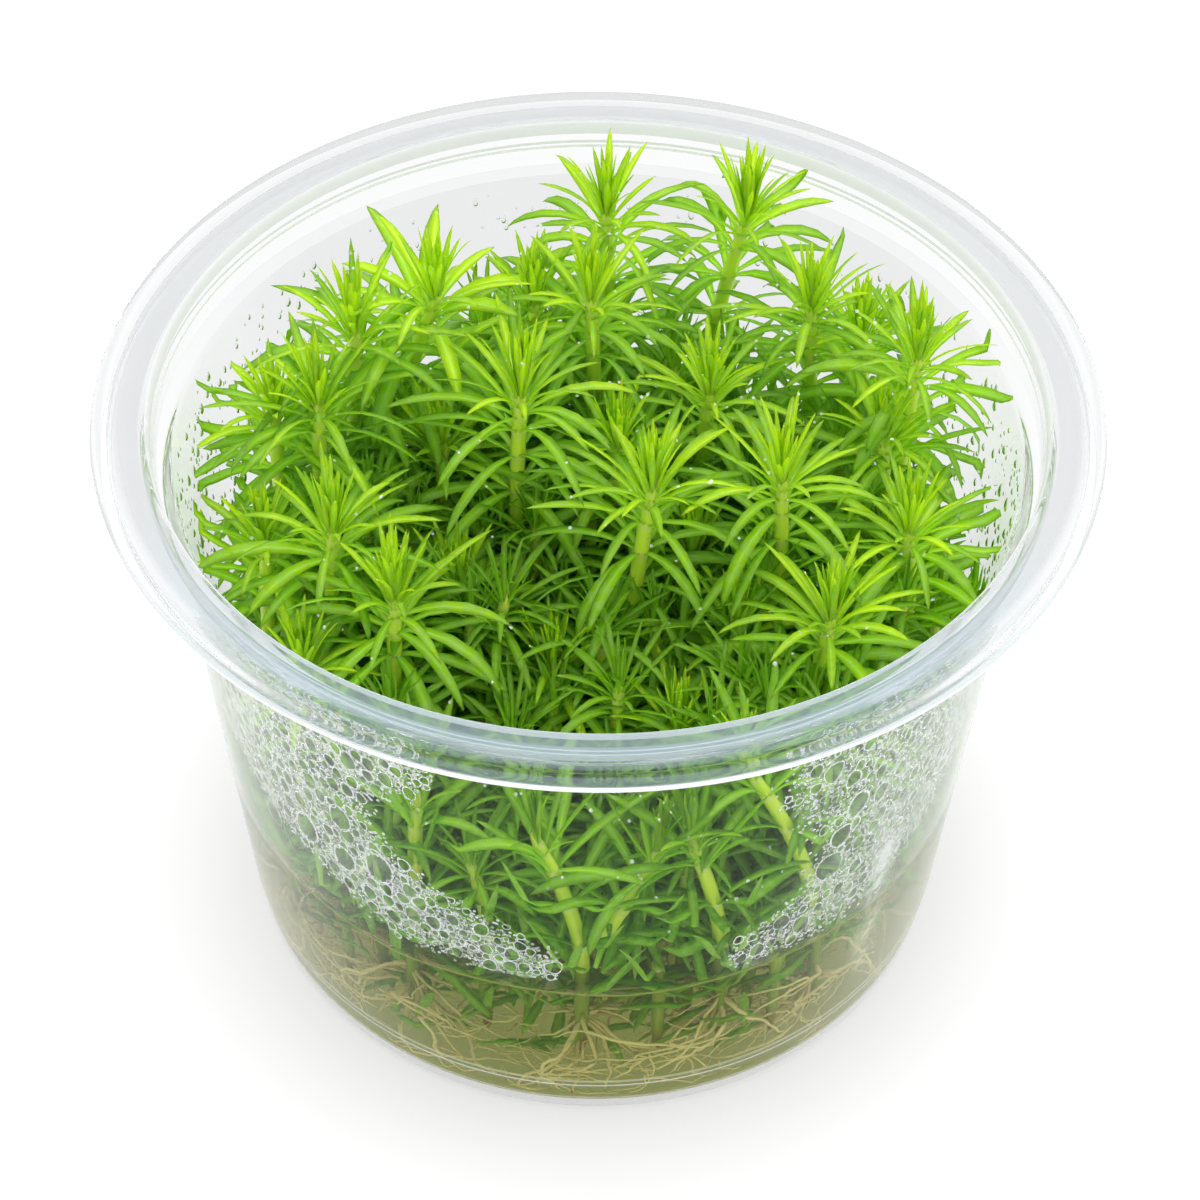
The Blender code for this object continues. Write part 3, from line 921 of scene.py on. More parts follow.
class LIMNOPHILA_OT_tub(bpy.types.Operator):
    """Turns the clear tub with its grooved rim, its wall and its foot"""

    bl_idname = "limnophila.tub"
    bl_label = "Tub"

    def execute(self, context):
        settings = context.scene.limnophila_tub
        floor = FLOOR_TOP - GEL_SAG
        corner = floor + 1.0
        below_rim, below_step = WALL_TOP - 1.2, BASE_STEP_HEIGHT - 0.35
        profile = [
            (0.0, floor), (inner_radius(corner) - 1.0, floor), (inner_radius(corner), corner),
            (inner_radius(WALL_TOP), WALL_TOP), (43.6, WALL_TOP + 0.35), (43.95, WALL_TOP + 0.9),
            *RIM_SECTION,
            (44.75, WALL_TOP + 0.2), (44.3, WALL_TOP - 0.5), (outer_radius(below_rim), below_rim),
            (outer_radius(BASE_STEP_HEIGHT), BASE_STEP_HEIGHT),
            (outer_radius(below_step) - BASE_STEP, below_step),
            (outer_radius(1.5) - BASE_STEP, 1.5), (BASE_RADIUS - 0.7, 0.4),
            (BASE_RADIUS - 1.7, 0.0), (BASE_RADIUS - 4.8, 0.0),
            (BASE_RADIUS - 5.4, FOOT_RECESS), (0.0, FOOT_RECESS),
        ]
        piece = turn_profile("tub_shell", divided(rounded(profile), FOG_STEP), settings.steps)
        fog = piece.data.attributes.new("fog", "FLOAT", "POINT")
        for vert in piece.data.vertices:
            x, y, z = vert.co / MM
            # Fog among the foam, with a painted highlight streak added down the wall
            if FLOOR_TOP < z < WALL_TOP and abs(math.hypot(x, y) - inner_radius(z)) < 0.2:
                fog.data[vert.index].value = wall_fog_and_streak(math.degrees(math.atan2(x, -y)), z)
        for name, ior, milk, haze_and_reflection in (
            ("wall_plastic", 1.10, 0.004, settings.fog),
            ("rim_plastic", 1.05, 0.11, settings.haze_and_reflection),
            ("lip_plastic", 1.04, 0.02, settings.haze_and_reflection),
        ):
            piece.data.materials.append(plastic_material(settings, name, ior, milk, haze_and_reflection))
        for face in piece.data.polygons:
            height = face.center.z / MM
            if height > RIM_BOTTOM:
                face.material_index = 1
            elif height > WALL_TOP:
                face.material_index = 2
        finish_piece(piece, "clear_plastic", "tub")
        return {"FINISHED"}


class LIMNOPHILA_OT_gel(bpy.types.Operator):
    """Pours the gel, which touches the wall all round and climbs it in small waves"""

    bl_idname = "limnophila.gel"
    bl_label = "Gel"

    def execute(self, context):
        settings = context.scene.limnophila_gel
        edge = GEL_TOP + MENISCUS
        floor = FLOOR_TOP - GEL_SAG - GEL_CONTACT
        profile = [
            (0.0, GEL_TOP), (20.0, GEL_TOP), (35.0, GEL_TOP), (37.2, GEL_TOP + 0.10),
            (38.2, GEL_TOP + 0.40), (38.8, GEL_TOP + 0.85),
            *((inner_radius(height) + GEL_CONTACT, height) for height in (edge, 12.0, 2.6)),
            (inner_radius(2.0) - 0.25, 1.7), (inner_radius(2.0) - 0.9, floor), (0.0, floor),
        ]
        piece = turn_profile("gel_body", profile, GEL_STEPS)
        border = piece.data.attributes.new("edge", "FLOAT", "POINT")
        for vert in piece.data.vertices:
            reach = math.hypot(vert.co.x, vert.co.y) / MM
            if vert.co.z / MM > GEL_TOP - 0.01 and reach > CLIMB:
                turn = math.atan2(vert.co.y, vert.co.x)
                wave = abs(math.sin(4.5 * turn + 0.4 * math.sin(3 * turn))) - 0.6
                vert.co.z += wave * settings.ripple * (reach - CLIMB) / CLIMB_WIDTH
            border.data[vert.index].value = float(vert.co.z / MM > edge - 0.7 and reach > 39.0)
        piece.data.materials.append(gel_material(settings))
        finish_piece(piece, "culture_gel", "gel")
        return {"FINISHED"}


# ---------------------------------------------------------------- water on the wall and leaves

# Where condensation stands on the wall, as outlines of (angle, height)
LEFT_FOAM = (
    (-82, 60), (-24, 59), (-23, 54), (-31, 50), (-35, 45), (-30, 40), (-24, 36), (-16, 32.5),
    (-5, 28), (-5, 25), (-12, 25), (-20, 27), (-28, 27.5), (-37, 30), (-45, 33), (-53, 35),
    (-64, 40), (-82, 47),
)
RIGHT_FOAM = (
    (27, 58.5), (82, 60), (82, 47), (60, 35), (55, 30), (47, 27), (38, 25), (30, 24.5),
    (21, 24), (20, 26.5), (27, 31), (31, 33), (33, 37), (35, 42), (30, 46), (27, 50),
)
LEFT_MIST = ((-135, 60), (-84, 60), (-80, 42), (-100, 38), (-130, 44))
RIGHT_MIST = ((84, 60), (135, 60), (130, 44), (100, 38), (80, 42))
BACK_MIST = ((140, 61), (220, 61), (220, 52), (140, 52))
# Large cells: (angle, height, radius)
LARGE_CELLS = (
    (-53.2, 32.2, 1.2), (-44.6, 35.7, 1.5), (-36.9, 41.8, 1.3), (-37.4, 34.8, 1.3),
    (-31.2, 36.6, 1.65), (-41.8, 45.1, 0.95), (-33.7, 52.7, 0.95), (-40.0, 51.6, 0.8),
    (-48.2, 51.3, 0.65), (-45.6, 48.1, 0.7), (-30.3, 53.8, 0.75), (-34.6, 47.6, 0.75),
    (-27.7, 55.1, 0.6), (-30.3, 31.4, 0.7), (-25.4, 38.0, 0.6), (-15.8, 32.0, 0.8),
    (-11.5, 28.6, 0.8), (-20.0, 32.4, 0.7), (-34.9, 57.4, 0.6), (-58.0, 44.0, 0.8),
    (29.4, 56.9, 0.7), (32.6, 52.3, 1.1), (36.9, 56.0, 0.8), (36.3, 49.5, 0.9),
    (38.2, 54.2, 0.8), (38.2, 44.4, 1.3), (36.1, 40.3, 1.2), (34.9, 35.8, 1.5),
    (42.5, 43.9, 1.0), (31.5, 27.5, 1.0), (28.0, 29.5, 0.9), (24.5, 26.0, 0.8),
    (55.0, 38.5, 0.8), (45.9, 45.8, 0.8), (40.1, 33.0, 0.8),
)
# Outline, share of the cells or drops, smallest and largest radius, how rare the large ones are
FOAM_PATCHES = {
    "left": (LEFT_FOAM, 0.58, 0.12, 0.85, 13.0), "right": (RIGHT_FOAM, 0.42, 0.12, 0.8, 13.0)
}
MIST_PATCHES = (
    (LEFT_MIST, 0.42, 0.14, 0.5, 2.5), (RIGHT_MIST, 0.42, 0.14, 0.5, 2.5),
    (BACK_MIST, 0.16, 0.12, 0.4, 2.0),
)
CROWDED, APART = 0.92, 1.25  # least distance of two round places, over their radii
PLACE_TRIES = 40
TALL_CELL = 1.3  # a cell's height over its width
RING_KINDS = ((0.3, 8), (0.6, 12), (9.0, 24))  # largest radius of a ring, and its faces round
PAINTED_STREAK = (47.0, 2.6)  # where a painted highlight stands on the wall as a long pale streak, and half its width


def inside_outline(outline, x, y):
    inside = False
    for (xa, ya), (xb, yb) in zip(outline, outline[1:] + outline[:1]):
        if (ya > y) != (yb > y) and x < xa + (xb - xa) * (y - ya) / (yb - ya):
            inside = not inside
    return inside


def wall_fog_and_streak(angle, height):
    """How foggy the wall is among the foam, plus a painted highlight down one long pale streak."""
    inside = 0
    for outline, *_ in FOAM_PATCHES.values():
        for x, y in ((0, 0), (-2.5, 0), (2.5, 0), (0, -1.6), (0, 1.6)):
            inside += inside_outline(outline, angle + x, height + y)
    painted_streak = math.exp(-(((angle - PAINTED_STREAK[0]) / PAINTED_STREAK[1]) ** 2))
    painted_streak *= float(np.interp(height, (8.0, 14.0, 32.0, 44.0), (0.0, 1.0, 1.0, 0.0)))
    return min(1.0, inside / 5) + 4.5 * painted_streak


def scatter_on_wall(rng, patch, wanted, crowding, found=()):
    """Round places (angle, height, radius) on the wall that hardly overlap, large ones first."""
    outline, share, least, most, rarity = patch
    sizes = [least + (most - least) * rng.random() ** rarity for _ in range(int(wanted * share))]
    angles, heights = zip(*outline)
    found = [cell for cell in found if min(angles) <= cell[0] <= max(angles)]
    kept = np.zeros((len(found) + len(sizes), 3))
    for i, (angle, height, size) in enumerate(found):
        kept[i] = math.radians(angle) * inner_radius(height), height, size
    for size in sorted(sizes, reverse=True):
        for _ in range(PLACE_TRIES):
            angle = rng.uniform(min(angles), max(angles))
            height = rng.uniform(min(heights), max(heights))
            frayed = angle + rng.gauss(0.0, 1.5), height + rng.gauss(0.0, 1.1)
            if not inside_outline(outline, *frayed):
                continue
            x = math.radians(angle) * inner_radius(height)
            near = kept[: len(found)]
            apart = np.hypot(near[:, 0] - x, (near[:, 1] - height) / TALL_CELL)
            if (apart < (near[:, 2] + size) * crowding).any():
                continue
            kept[len(found)] = x, height, size
            found.append((angle, height, size))
            break
    return found


def on_wall(points, angle, height):
    """Points with X along the inner wall, Y up it and Z in from it, moved to a place on it."""
    turn = math.radians(angle)
    outward = Vector((math.sin(turn), -math.cos(turn), 0.0))
    along = Vector((math.cos(turn), math.sin(turn), 0.0))
    slope = (WALL_TOP_RADIUS - BASE_RADIUS) / WALL_TOP
    up = (UP + outward * slope).normalized()
    axes = np.array([tuple(along), tuple(up), tuple(up.cross(along).normalized())])
    return points @ axes + np.array(outward * inner_radius(height) + UP * height)


def uneven_ring(rng, points, size, thickness):
    """A ring's points at this size, its water as thick as told, whatever the size."""
    turn = np.arctan2(points[:, 1], points[:, 0])
    swell = (np.hypot(points[:, 0], points[:, 1]) - 1.0) / RING_THICKNESS * thickness
    wave = 1.0 + rng.uniform(0.0, 0.10) * np.cos(2 * turn + rng.uniform(0.0, math.tau))
    wave += rng.uniform(0.02, 0.09) * np.cos(3 * turn + rng.uniform(0.0, math.tau))
    x = np.cos(turn) * (size * wave + swell)
    y = np.sin(turn) * (size * (1.15 + 0.3 * size) * wave + swell)
    return np.column_stack([x, y, points[:, 2] / RING_THICKNESS * thickness])


def add_water(growth, pattern, copies, tones):
    growth.add(pattern, np.array(copies), 0, pattern.points[:, :2] / 2 + 0.5, 0.0, np.c_[tones])


class LIMNOPHILA_OT_foam(bpy.types.Operator):
    """Covers parts of the wall with cells of condensation, whose rims touch"""

    bl_idname = "limnophila.foam"
    bl_label = "Foam"

    def execute(self, context):
        wanted = context.scene.limnophila_water.wall_cells
        rng = random.Random(5)
        patterns = [(limit, model_ring(faces, 3)) for limit, faces in RING_KINDS]
        # The rims' material paints a glow on them, as highlights
        material = shared("water_rim", rim_material)
        for side, patch in FOAM_PATCHES.items():
            growth = Growth()
            for angle, height, size in scatter_on_wall(rng, patch, wanted, CROWDED, LARGE_CELLS):
                pattern = next(made for limit, made in patterns if size < limit)
                thickness = rng.uniform(0.035, 0.085) * (0.8 + 0.5 * size)
                ring = uneven_ring(rng, pattern.points, size, thickness)
                tone = rng.uniform(-1.0, 1.0)
                add_water(growth, pattern, [on_wall(ring, angle, height)], [tone])
            finish_piece(growth.piece("foam_" + side, [material]), "clear_plastic")
        return {"FINISHED"}


class LIMNOPHILA_OT_mist(bpy.types.Operator):
    """Sets small drops high on the inside of the wall"""

    bl_idname = "limnophila.mist"
    bl_label = "Mist"

    def execute(self, context):
        wanted = context.scene.limnophila_water.mist_drops
        rng = random.Random(6)
        drop = model_drop(10, 6)
        copies, tones = [], []
        for patch in MIST_PATCHES:
            for angle, height, size in scatter_on_wall(rng, patch, wanted, APART):
                shape = (size, size * rng.uniform(1.1, 2.2), size * 0.55)
                copies.append(on_wall(drop.points * np.array(shape), angle, height))
                tones.append(rng.uniform(-1.0, 1.0))
        growth = Growth()
        add_water(growth, drop, copies, tones)
        finish_piece(growth.piece("mist_drops", [water_material()]), "clear_plastic")
        return {"FINISHED"}


class LIMNOPHILA_OT_beads(bpy.types.Operator):
    """Sets tiny beads of water on the upper leaves, made bright by the painted glow of the water
    rims' material
    """

    bl_idname = "limnophila.beads"
    bl_label = "Beads"

    def execute(self, context):
        wanted = context.scene.limnophila_water.leaf_drops
        rng = random.Random(8)
        drop = model_drop(8, 5)
        copies, tones = [], []
        leafy = [piece for piece in bpy.data.objects if piece.name.endswith("_leafy")]
        leafy.sort(key=lambda piece: piece.name)
        while len(copies) < wanted:
            mesh = rng.choice(leafy).data
            face = mesh.polygons[rng.randrange(len(mesh.polygons))]
            if face.normal.z < 0.35 or face.center.z < 0.03:
                continue
            size = rng.uniform(0.10, 0.24)
            inward = face.normal
            along = inward.orthogonal().normalized()
            axes = np.array([tuple(along), tuple(inward.cross(along)), tuple(inward)])
            copies.append(drop.points * size @ axes + np.array(face.center / MM))
            tones.append(rng.uniform(-1.0, 1.0))
        growth = Growth()
        add_water(growth, drop, copies, tones)
        material = shared("water_rim", rim_material)
        finish_piece(growth.piece("leaf_beads", [material]), "clear_plastic")
        return {"FINISHED"}


# ---------------------------------------------------------------- materials

WHITE = (1.0, 1.0, 1.0)


class Nodes:
    """Makes the nodes of one tree, and links them."""

    def __init__(self, tree):
        self.tree = tree

    def put(self, socket, value):
        """Links a socket to another one, or sets it to a plain value."""
        if isinstance(value, bpy.types.NodeSocket):
            self.tree.links.new(value, socket)
        elif socket.type == "RGBA":
            socket.default_value = (*value, 1.0)
        else:
            socket.default_value = value

    def node(self, kind, inputs=None, **settings):
        """A new node's outputs."""
        made = self.tree.nodes.new("ShaderNode" + kind)
        for key, value in settings.items():
            setattr(made, key, value)
        for key, value in (inputs or {}).items():
            self.put(made.inputs[key], value)
        return made.outputs

    def math(self, operation, a, b=0.0, clamp=False):
        return self.node("Math", {0: a, 1: b}, operation=operation, use_clamp=clamp)[0]

    def times(self, a, b):
        return self.math("MULTIPLY", a, b)

    def plus(self, a, b, clamp=False):
        return self.math("ADD", a, b, clamp)

    def mix(self, share, a, b):
        return self.node("Mix", {0: share, 6: a, 7: b}, data_type="RGBA")[2]

    def ramp(self, value, low, high, to_low=0.0, to_high=1.0, kind="LINEAR"):
        inputs = {0: value, 1: low, 2: high, 3: to_low, 4: to_high}
        return self.node("MapRange", inputs, interpolation_type=kind)[0]

    def soft_ramp(self, value, low, high, to_low=0.0, to_high=1.0):
        return self.ramp(value, low, high, to_low, to_high, "SMOOTHSTEP")

    def line(self, value, place, half, strength):
        """A mask that is strong within half a width of one place, in millimetres."""
        away = self.math("ABSOLUTE", self.math("SUBTRACT", value, place * MM))
        return self.soft_ramp(away, 0.4 * half * MM, half * MM, strength, 0.0)

    def split(self, vector):
        return self.node("SeparateXYZ", {0: vector})

    def place(self):
        return self.node("TexCoord")["Object"]

    def attribute(self, name):
        return self.node("Attribute", attribute_name=name)["Fac"]

    def mottle(self, scale):
        """The mottle mask in Object coordinates, at this many cells per metre."""
        inputs = {"Vector": self.place(), "Scale": scale}
        return self.node("Group", inputs, node_tree=mottle_group())["Mask"]


def mottle_group():
    """Two sizes of soft cloud in one mask, for leaves, stems, roots, gel and plastic alike."""
    group = bpy.data.node_groups.get("mottle")
    if group:
        return group
    group = bpy.data.node_groups.new("mottle", "ShaderNodeTree")
    group.interface.new_socket("Vector", in_out="INPUT", socket_type="NodeSocketVector")
    group.interface.new_socket("Scale", in_out="INPUT", socket_type="NodeSocketFloat")
    group.interface.new_socket("Mask", in_out="OUTPUT", socket_type="NodeSocketFloat")
    vector, scale, _ = group.nodes.new("NodeGroupInput").outputs
    inside = Nodes(group)
    coarse = inside.node("TexNoise", {"Vector": vector, "Scale": scale})[0]
    fine = inside.node("TexNoise", {"Vector": vector, "Scale": inside.times(scale, 4.3)})[0]
    total = inside.plus(inside.times(coarse, 0.65), inside.times(fine, 0.35))
    leave = group.nodes.new("NodeGroupOutput")
    inside.put(leave.inputs[0], inside.soft_ramp(total, 0.3, 0.7))
    return group


class Look(Nodes):
    """A new material, whose Principled shader is dressed and then shown."""

    def __init__(self, name):
        self.material = bpy.data.materials.new(name)
        self.material.use_nodes = True
        super().__init__(self.material.node_tree)

    def dress(self, **inputs):
        """Sets the shader's inputs, written with _ for each space, and returns its output."""
        shader = self.tree.nodes["Principled BSDF"]
        for key, value in inputs.items():
            self.put(shader.inputs[key.replace("_", " ")], value)
        return shader.outputs[0]

    def roughen(self, clouds, low, high):
        self.dress(Roughness=self.ramp(clouds, 0.0, 1.0, low, high))

    def emboss(self, height, strength, distance):
        inputs = {"Height": height, "Strength": strength, "Distance": distance}
        self.dress(Normal=self.node("Bump", inputs)[0])

    def surface_map(self):
        """Across and along the surface, from the piece's own UV map."""
        across, along, _ = self.split(self.node("UVMap", uv_map="surface")[0])
        return across, along

    def facing(self):
        """0 where the surface faces the viewer, 1 where it turns away."""
        return self.node("LayerWeight", {"Blend": 0.5})["Facing"]

    def shader_mix(self, share, a, b):
        return self.node("MixShader", {0: share, 1: a, 2: b})[0]

    def milk(self, colour, front):
        """Light scattered in this colour, this share of it back to the front."""
        through = self.node("BsdfTranslucent", {"Color": colour})[0]
        face = self.node("BsdfDiffuse", {"Color": colour})[0]
        return self.shader_mix(front, through, face)

    def show(self, surface):
        self.put(self.tree.nodes["Material Output"].inputs["Surface"], surface)
        return self.material

    def show_clear(self, surface, colour):
        """Shows a surface that lamp light passes, so that what stands behind is not in shade."""
        ways = self.node("LightPath")
        through = self.node("BsdfTransparent", {"Color": colour})[0]
        soft = self.math("MAXIMUM", ways["Is Shadow Ray"], ways["Is Diffuse Ray"])
        return self.show(self.shader_mix(soft, surface, through))


def shared(name, make, *given):
    """The material of this name, which is made when it is first asked for."""
    return bpy.data.materials.get(name) or make(*given)


def leaf_material(settings):
    """Wet green leaf with a pale midrib, fine veins, a painted silvery sheen and light coming
    through the blade.
    """
    look = Look("wet_leaf")
    across, along = look.surface_map()
    clouds = look.mottle(420.0)
    aged = look.plus(look.attribute("age"), look.times(look.attribute("tone"), 0.10))
    aged = look.plus(aged, look.times(clouds, 0.10))
    colour = look.mix(look.soft_ramp(aged, 0.05, 0.45), settings.young, settings.grown)
    colour = look.mix(look.soft_ramp(aged, 0.45, 0.95), colour, settings.old)
    fresh = look.ramp(aged, 0.35, 0.95, 1.0, 0.3)
    grown = look.ramp(aged, 0.07, 0.26)

    # The midrib, pale near the stem
    offset = look.math("ABSOLUTE", look.math("SUBTRACT", across, 0.5))
    rib = look.soft_ramp(offset, 0.035, 0.12, 1.0, 0.0)
    faded = look.times(rib, look.ramp(along, 0.25, 1.0, 0.75, 0.2))
    pale = look.mix(0.8, settings.young, (0.84, 1.0, 0.46))
    colour = look.mix(look.times(faded, fresh), colour, pale)

    # Painted sheen: silvery streaks on grown leaves; then a darker tip and margin, and a pale base
    sheen_and_vein_streaks = look.times(look.ramp(look.mottle(900.0), 0.2, 0.8), 0.75)
    painted_sheen = look.times(look.times(sheen_and_vein_streaks, grown), look.ramp(along, 0.2, 0.6))
    colour = look.mix(painted_sheen, colour, (0.45, 0.68, 0.17))
    darker = look.times(look.ramp(along, 0.15, 0.8, 0.0, 0.7), grown)
    colour = look.mix(darker, colour, settings.old)
    margin = look.times(look.ramp(offset, 0.36, 0.48, 0.0, 0.4), grown)
    colour = look.mix(margin, colour, settings.old)
    base = look.soft_ramp(along, 0.0, 0.22, 0.6, 0.0)
    colour = look.mix(look.times(base, fresh), colour, pale)

    # Veins along the blade
    stripes = look.math("SINE", look.times(across, 62.0))
    veined = look.times(look.ramp(stripes, 0.2, 1.0), sheen_and_vein_streaks)
    colour = look.mix(veined, colour, (0.68, 0.89, 0.26))
    relief = look.plus(look.times(stripes, 0.6), look.times(rib, -1.0))
    look.emboss(look.plus(relief, look.times(clouds, 0.8)), 0.5, 0.0001)
    look.roughen(clouds, 0.30, 0.46)
    blade = look.dress(
        Base_Color=colour, Specular_IOR_Level=0.25, Coat_Weight=0.08, Coat_Roughness=0.22
    )
    inputs = {"Hue": 0.49, "Saturation": 1.08, "Value": 1.6, "Color": colour}
    glow = look.node("BsdfTranslucent", {"Color": look.node("HueSaturation", inputs)[0]})[0]
    return look.show(look.shader_mix(0.42, blade, glow))


def stem_material(settings):
    """Pale juicy stem with darker long streaks and a paler ring at each node, browner when sunk."""
    look = Look("stem")
    across, along = look.surface_map()
    clouds = look.mottle(700.0)
    streaks = look.ramp(look.math("SINE", look.times(across, 44.0)), -1.0, 1.0, 0.0, 0.35)
    greener = look.mix(0.75, settings.stem, settings.grown)
    colour = look.mix(streaks, settings.stem, greener)
    colour = look.mix(look.soft_ramp(along, 0.2, 3.2, 0.0, 0.35), colour, greener)
    colour = look.mix(look.times(clouds, 0.2), colour, greener)
    colour = look.mix(look.times(look.attribute("age"), 0.5), colour, (0.70, 0.78, 0.32))
    height = look.split(look.place())[2]
    colour = look.mix(look.soft_ramp(height, 0.018, 0.027, 0.9, 0.0), colour, (0.17, 0.27, 0.035))
    colour = look.mix(look.soft_ramp(height, 0.0095, 0.0135, 0.9, 0.0), colour, (0.20, 0.12, 0.03))
    look.roughen(clouds, 0.26, 0.42)
    look.emboss(streaks, 0.3, 0.0001)
    return look.show(look.dress(
        Base_Color=colour, Subsurface_Weight=0.3, Subsurface_Radius=(0.8, 1.0, 0.15),
        Subsurface_Scale=0.001,
    ))


def root_material(settings):
    """Cream to tan roots, browner where they leave the stem."""
    look = Look("root")
    clouds = look.mottle(500.0)
    dark = look.plus(look.times(look.attribute("tone"), 0.18), 0.22)
    dark = look.plus(dark, look.ramp(look.attribute("age"), 0.0, 0.35, 0.35, 0.0), clamp=True)
    dark = look.plus(dark, look.times(clouds, 0.2), clamp=True)
    look.roughen(clouds, 0.45, 0.65)
    look.emboss(clouds, 0.4, 0.0001)
    colour = look.mix(dark, settings.root_colour, (0.42, 0.33, 0.13))
    return look.show(look.dress(Base_Color=colour))


# Painted reflection bands on the rim, where it is milkier or clearer than elsewhere: (radius, half
# a width, how much)
RIM_REFLECTION_BANDS = (
    (46.1, 2.10, 0.29), (48.4, 0.22, -0.28), (49.0, 0.35, 0.12), (49.5, 0.20, -0.20),
    (49.9, 0.20, 0.25),
)


def plastic_material(settings, name, ior, milk, haze_and_reflection):
    """Clear moulded plastic: milkier where it is foggy or turns away, with painted highlights along
    its edges, a painted highlight streak on the wall, painted reflection bands and a grey-blue
    painted reflection on the rim, and painted shade towards the back.
    """
    look = Look(name)
    wall, rim = name == "wall_plastic", name == "rim_plastic"
    clouds = look.mottle(35.0)
    x, y, height = look.split(look.place())
    flat = look.node("CombineXYZ", {0: x, 1: y})[0]
    reach = look.node("VectorMath", {0: flat}, operation="LENGTH")["Value"]
    # Painted shade: the plastic's tint darkens towards the back, far more on the wall than
    # elsewhere
    darker = tuple((0.82 if wall else 0.97) * value for value in settings.tint)
    tint = look.mix(look.ramp(y, -0.01, 0.03), settings.tint, darker)
    look.roughen(clouds, 0.01, 0.04)
    clear = look.dress(Base_Color=tint, Transmission_Weight=1.0, IOR=ior)

    # Painted highlights: thin white lines at the foot's step, the lip and, on the rim, its inner
    # edge
    painted_highlights = look.plus(look.line(height, STEP_HIGHLIGHT, 0.3, 0.5), look.line(height, LIP_HIGHLIGHT, 0.2, 1.0))
    if rim:
        painted_highlights = look.plus(painted_highlights, look.line(reach, INNER_HIGHLIGHT, 0.4, 0.6))
    # Painted reflection: the rim's and the lip's haze is grey-blue at the front and a neutral grey
    # behind, over the plastic's real milkiness
    if not wall:
        haze_and_reflection = look.mix(look.soft_ramp(y, -0.042, -0.015), haze_and_reflection, (0.55, 0.56, 0.58))
    milky = look.milk(look.mix(painted_highlights, haze_and_reflection, WHITE), 0.75)

    share = look.ramp(clouds, 0.0, 1.0, 0.8 * milk, 1.2 * milk)
    if rim:
        for ring in RIM_REFLECTION_BANDS:
            share = look.plus(share, look.line(reach, *ring))
        share = look.math("MAXIMUM", share, 0.03)
    share = look.plus(share, painted_highlights)
    # The fog attribute also carries the painted highlight streak, which turns milky here
    mist_and_streak_breakup = look.ramp(look.mottle(260.0), 0.1, 0.9, 0.03, 0.22)
    share = look.plus(share, look.times(look.attribute("fog"), mist_and_streak_breakup))
    turned = look.soft_ramp(look.facing(), 0.50, 0.95, 0.0, 0.42 if wall else 0.12)
    share = look.plus(share, turned, clamp=True)
    return look.show_clear(look.shader_mix(share, clear, milky), (0.97, 0.975, 0.98))


def gel_material(settings):
    """Clear straw-tinted gel with a soft unevenness on its top, a painted dark green shade on its
    upward faces, and a painted highlight line along its meniscus.
    """
    look = Look("culture_gel")
    thin = look.ramp(look.facing(), 0.30, 0.85)
    upward = look.split(look.node("NewGeometry")["Normal"])[2]
    colour = look.mix(thin, settings.tint, (1.0, 0.99, 0.80))
    # Painted shade: upward faces take the dark green of the low growth's shade over the gel
    colour = look.mix(look.ramp(upward, 0.6, 0.95), colour, settings.surface)
    clouds = look.mottle(90.0)
    look.roughen(clouds, 0.03, 0.10)
    look.emboss(clouds, 0.2, 0.0006)
    clear = look.dress(Base_Color=colour, Transmission_Weight=1.0, IOR=1.10)
    # Painted highlight: the gel turns milky along its meniscus, for the bright line where it meets
    # the wall
    line = look.soft_ramp(look.attribute("edge"), 0.955, 0.985, 0.0, 0.7)
    share = look.plus(look.ramp(clouds, 0.0, 1.0, 0.02, 0.07), line, clamp=True)
    cloudy = look.shader_mix(share, clear, look.milk(settings.cloud, 0.5))
    return look.show_clear(cloudy, (0.97, 0.965, 0.90))


WATER_IOR = 1.33
GLINT = (0.98, 0.985, 0.99)


def water_material():
    """Clear drops of water."""
    look = Look("water")
    look.roughen(look.mottle(300.0), 0.0, 0.02)
    clear = look.dress(Base_Color=WHITE, Transmission_Weight=1.0, IOR=WATER_IOR)
    return look.show_clear(clear, (0.97, 0.97, 0.97))


def rim_material():
    """Water rims and beads that catch the light: glassy, with a white veil and a painted glow, an
    emission that paints them white as highlights though they are no lamp.
    """
    look = Look("water_rim")
    clouds = look.mottle(800.0)
    look.roughen(clouds, 0.02, 0.12)
    clear = look.dress(Base_Color=WHITE, Transmission_Weight=1.0, IOR=WATER_IOR)
    # Painted glow: an emission that paints white highlights on rims and beads
    glint = look.node("Emission", {"Color": GLINT, "Strength": 1.0})[0]
    bright = look.shader_mix(0.5, look.milk(GLINT, 0.5), glint)
    surface = look.shader_mix(look.ramp(clouds, 0.2, 0.75, 0.12, 1.0), clear, bright)
    return look.show_clear(surface, (0.95, 0.95, 0.95))


def floor_material():
    """Pale lit table: part of its light comes from below, as on a light box, and that glow dims
    near the tub as a painted contact shadow.
    """
    look = Look("pale_floor")
    # Painted contact shadow: the glow dims where ambient occlusion finds the tub close by
    near = look.node("AmbientOcclusion", {"Distance": 0.016})["AO"]
    return look.show(look.dress(
        Base_Color=look.mix(look.mottle(6.0), (0.198, 0.198, 0.198), (0.202, 0.202, 0.202)),
        Roughness=0.9, Specular_IOR_Level=0.1, Emission_Color=WHITE,
        Emission_Strength=look.ramp(near, 0.3, 1.0, 0.60, 0.83),
    ))


# ---------------------------------------------------------------- stage

LAMP_TARGET = (0.0, 0.0, 0.04)
CAMERA_PLACE = (0.00035, -0.2205, 0.2663)
CAMERA_DOWN = math.radians(45.9)
CAMERA_ROLL = 0.012
LENS, SENSOR = 90.0, 36.0
HORIZON = (0.52, 0.55, 0.58)


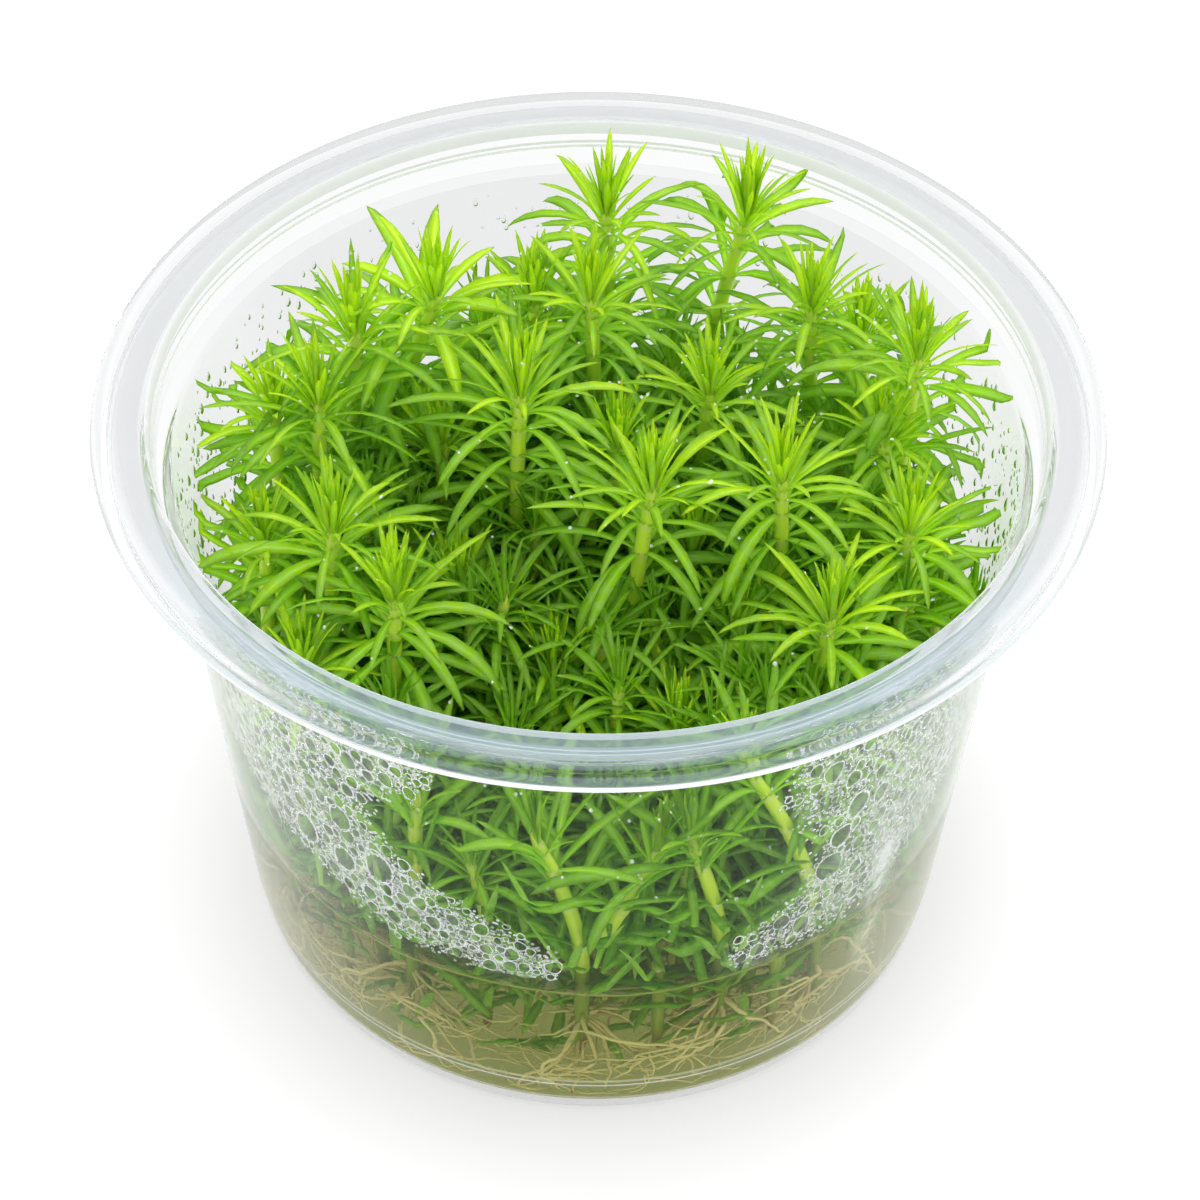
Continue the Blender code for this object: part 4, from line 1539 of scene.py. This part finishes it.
def area_lamp(name, place, size, power, tall=None):
    """A soft lamp that points at the middle of the tub."""
    bpy.ops.object.light_add(type="AREA", location=place)
    lamp = bpy.context.object
    lamp.name = name
    lamp.rotation_euler = (Vector(LAMP_TARGET) - Vector(place)).to_track_quat("-Z", "Y").to_euler()
    lamp.data.energy = power
    lamp.data.size = size
    if tall:
        lamp.data.shape = "RECTANGLE"
        lamp.data.size_y = tall


class LIMNOPHILA_OT_stage(bpy.types.Operator):
    """Lays the floor, hangs the lamps and sets the camera at the photograph's place"""

    bl_idname = "limnophila.stage"
    bl_label = "Stage"

    def execute(self, context):
        settings = context.scene.limnophila_stage
        deselect_all()
        side = settings.floor_size
        bpy.ops.mesh.primitive_grid_add(x_subdivisions=8, y_subdivisions=8, size=side)
        floor = context.object
        floor.name = "floor"
        floor.data.materials.append(floor_material())

        world = bpy.data.worlds.new("studio")
        context.scene.world = world
        world.use_nodes = True
        sky = Nodes(world.node_tree)
        height = sky.split(sky.node("TexCoord")["Generated"])[2]
        back = world.node_tree.nodes["Background"]
        sky.put(back.inputs["Color"], sky.mix(sky.soft_ramp(height, 0.02, 0.55), HORIZON, WHITE))
        sky.put(back.inputs["Strength"], settings.sky)

        area_lamp("key_lamp", (0.04, 0.16, 0.78), 0.8, settings.key)
        area_lamp("side_lamp", (0.62, 0.05, 0.30), 0.12, settings.side, tall=0.50)

        camera = bpy.data.cameras.new("camera")
        camera.lens, camera.sensor_width = LENS, SENSOR
        camera.clip_start, camera.clip_end = 0.01, 10.0
        holder = bpy.data.objects.new("camera", camera)
        context.scene.collection.objects.link(holder)
        tilt = Matrix.Rotation(math.pi / 2 - CAMERA_DOWN, 4, "X")
        roll = Matrix.Rotation(CAMERA_ROLL, 4, "Z")
        holder.matrix_world = Matrix.Translation(CAMERA_PLACE) @ tilt @ roll
        context.scene.camera = holder
        context.scene.view_settings.view_transform = "Standard"
        context.scene.view_settings.look = "None"
        context.scene.cycles.caustics_reflective = False
        context.scene.cycles.caustics_refractive = False
        return {"FINISHED"}


# ---------------------------------------------------------------- panel and registration

STEPS = (
    LIMNOPHILA_OT_tub,
    LIMNOPHILA_OT_gel,
    LIMNOPHILA_OT_shoots,
    LIMNOPHILA_OT_undergrowth,
    LIMNOPHILA_OT_roots,
    LIMNOPHILA_OT_foam,
    LIMNOPHILA_OT_mist,
    LIMNOPHILA_OT_beads,
    LIMNOPHILA_OT_stage,
)
SETTINGS = {
    "limnophila_tub": TubSettings,
    "limnophila_gel": GelSettings,
    "limnophila_shoots": ShootSettings,
    "limnophila_water": WaterSettings,
    "limnophila_stage": StageSettings,
}


class LIMNOPHILA_PT_panel(bpy.types.Panel):
    """The steps and their settings"""

    bl_label = "Limnophila tub"
    bl_idname = "LIMNOPHILA_PT_panel"
    bl_space_type = "VIEW_3D"
    bl_region_type = "UI"
    bl_category = "Limnophila"

    def draw(self, context):
        for step in STEPS:
            self.layout.operator(step.bl_idname)
        for name, group in SETTINGS.items():
            box = self.layout.box()
            for key in group.__annotations__:
                box.prop(getattr(context.scene, name), key)


CLASSES = (*SETTINGS.values(), *STEPS, LIMNOPHILA_PT_panel)


def register():
    for item in CLASSES:
        bpy.utils.register_class(item)
    for name, group in SETTINGS.items():
        setattr(bpy.types.Scene, name, PointerProperty(type=group))


def unregister():
    for name in SETTINGS:
        delattr(bpy.types.Scene, name)
    for item in reversed(CLASSES):
        bpy.utils.unregister_class(item)


def main():
    register()
    for step in STEPS:
        group, name = step.bl_idname.split(".")
        getattr(getattr(bpy.ops, group), name)()


if __name__ == "__main__":
    main()
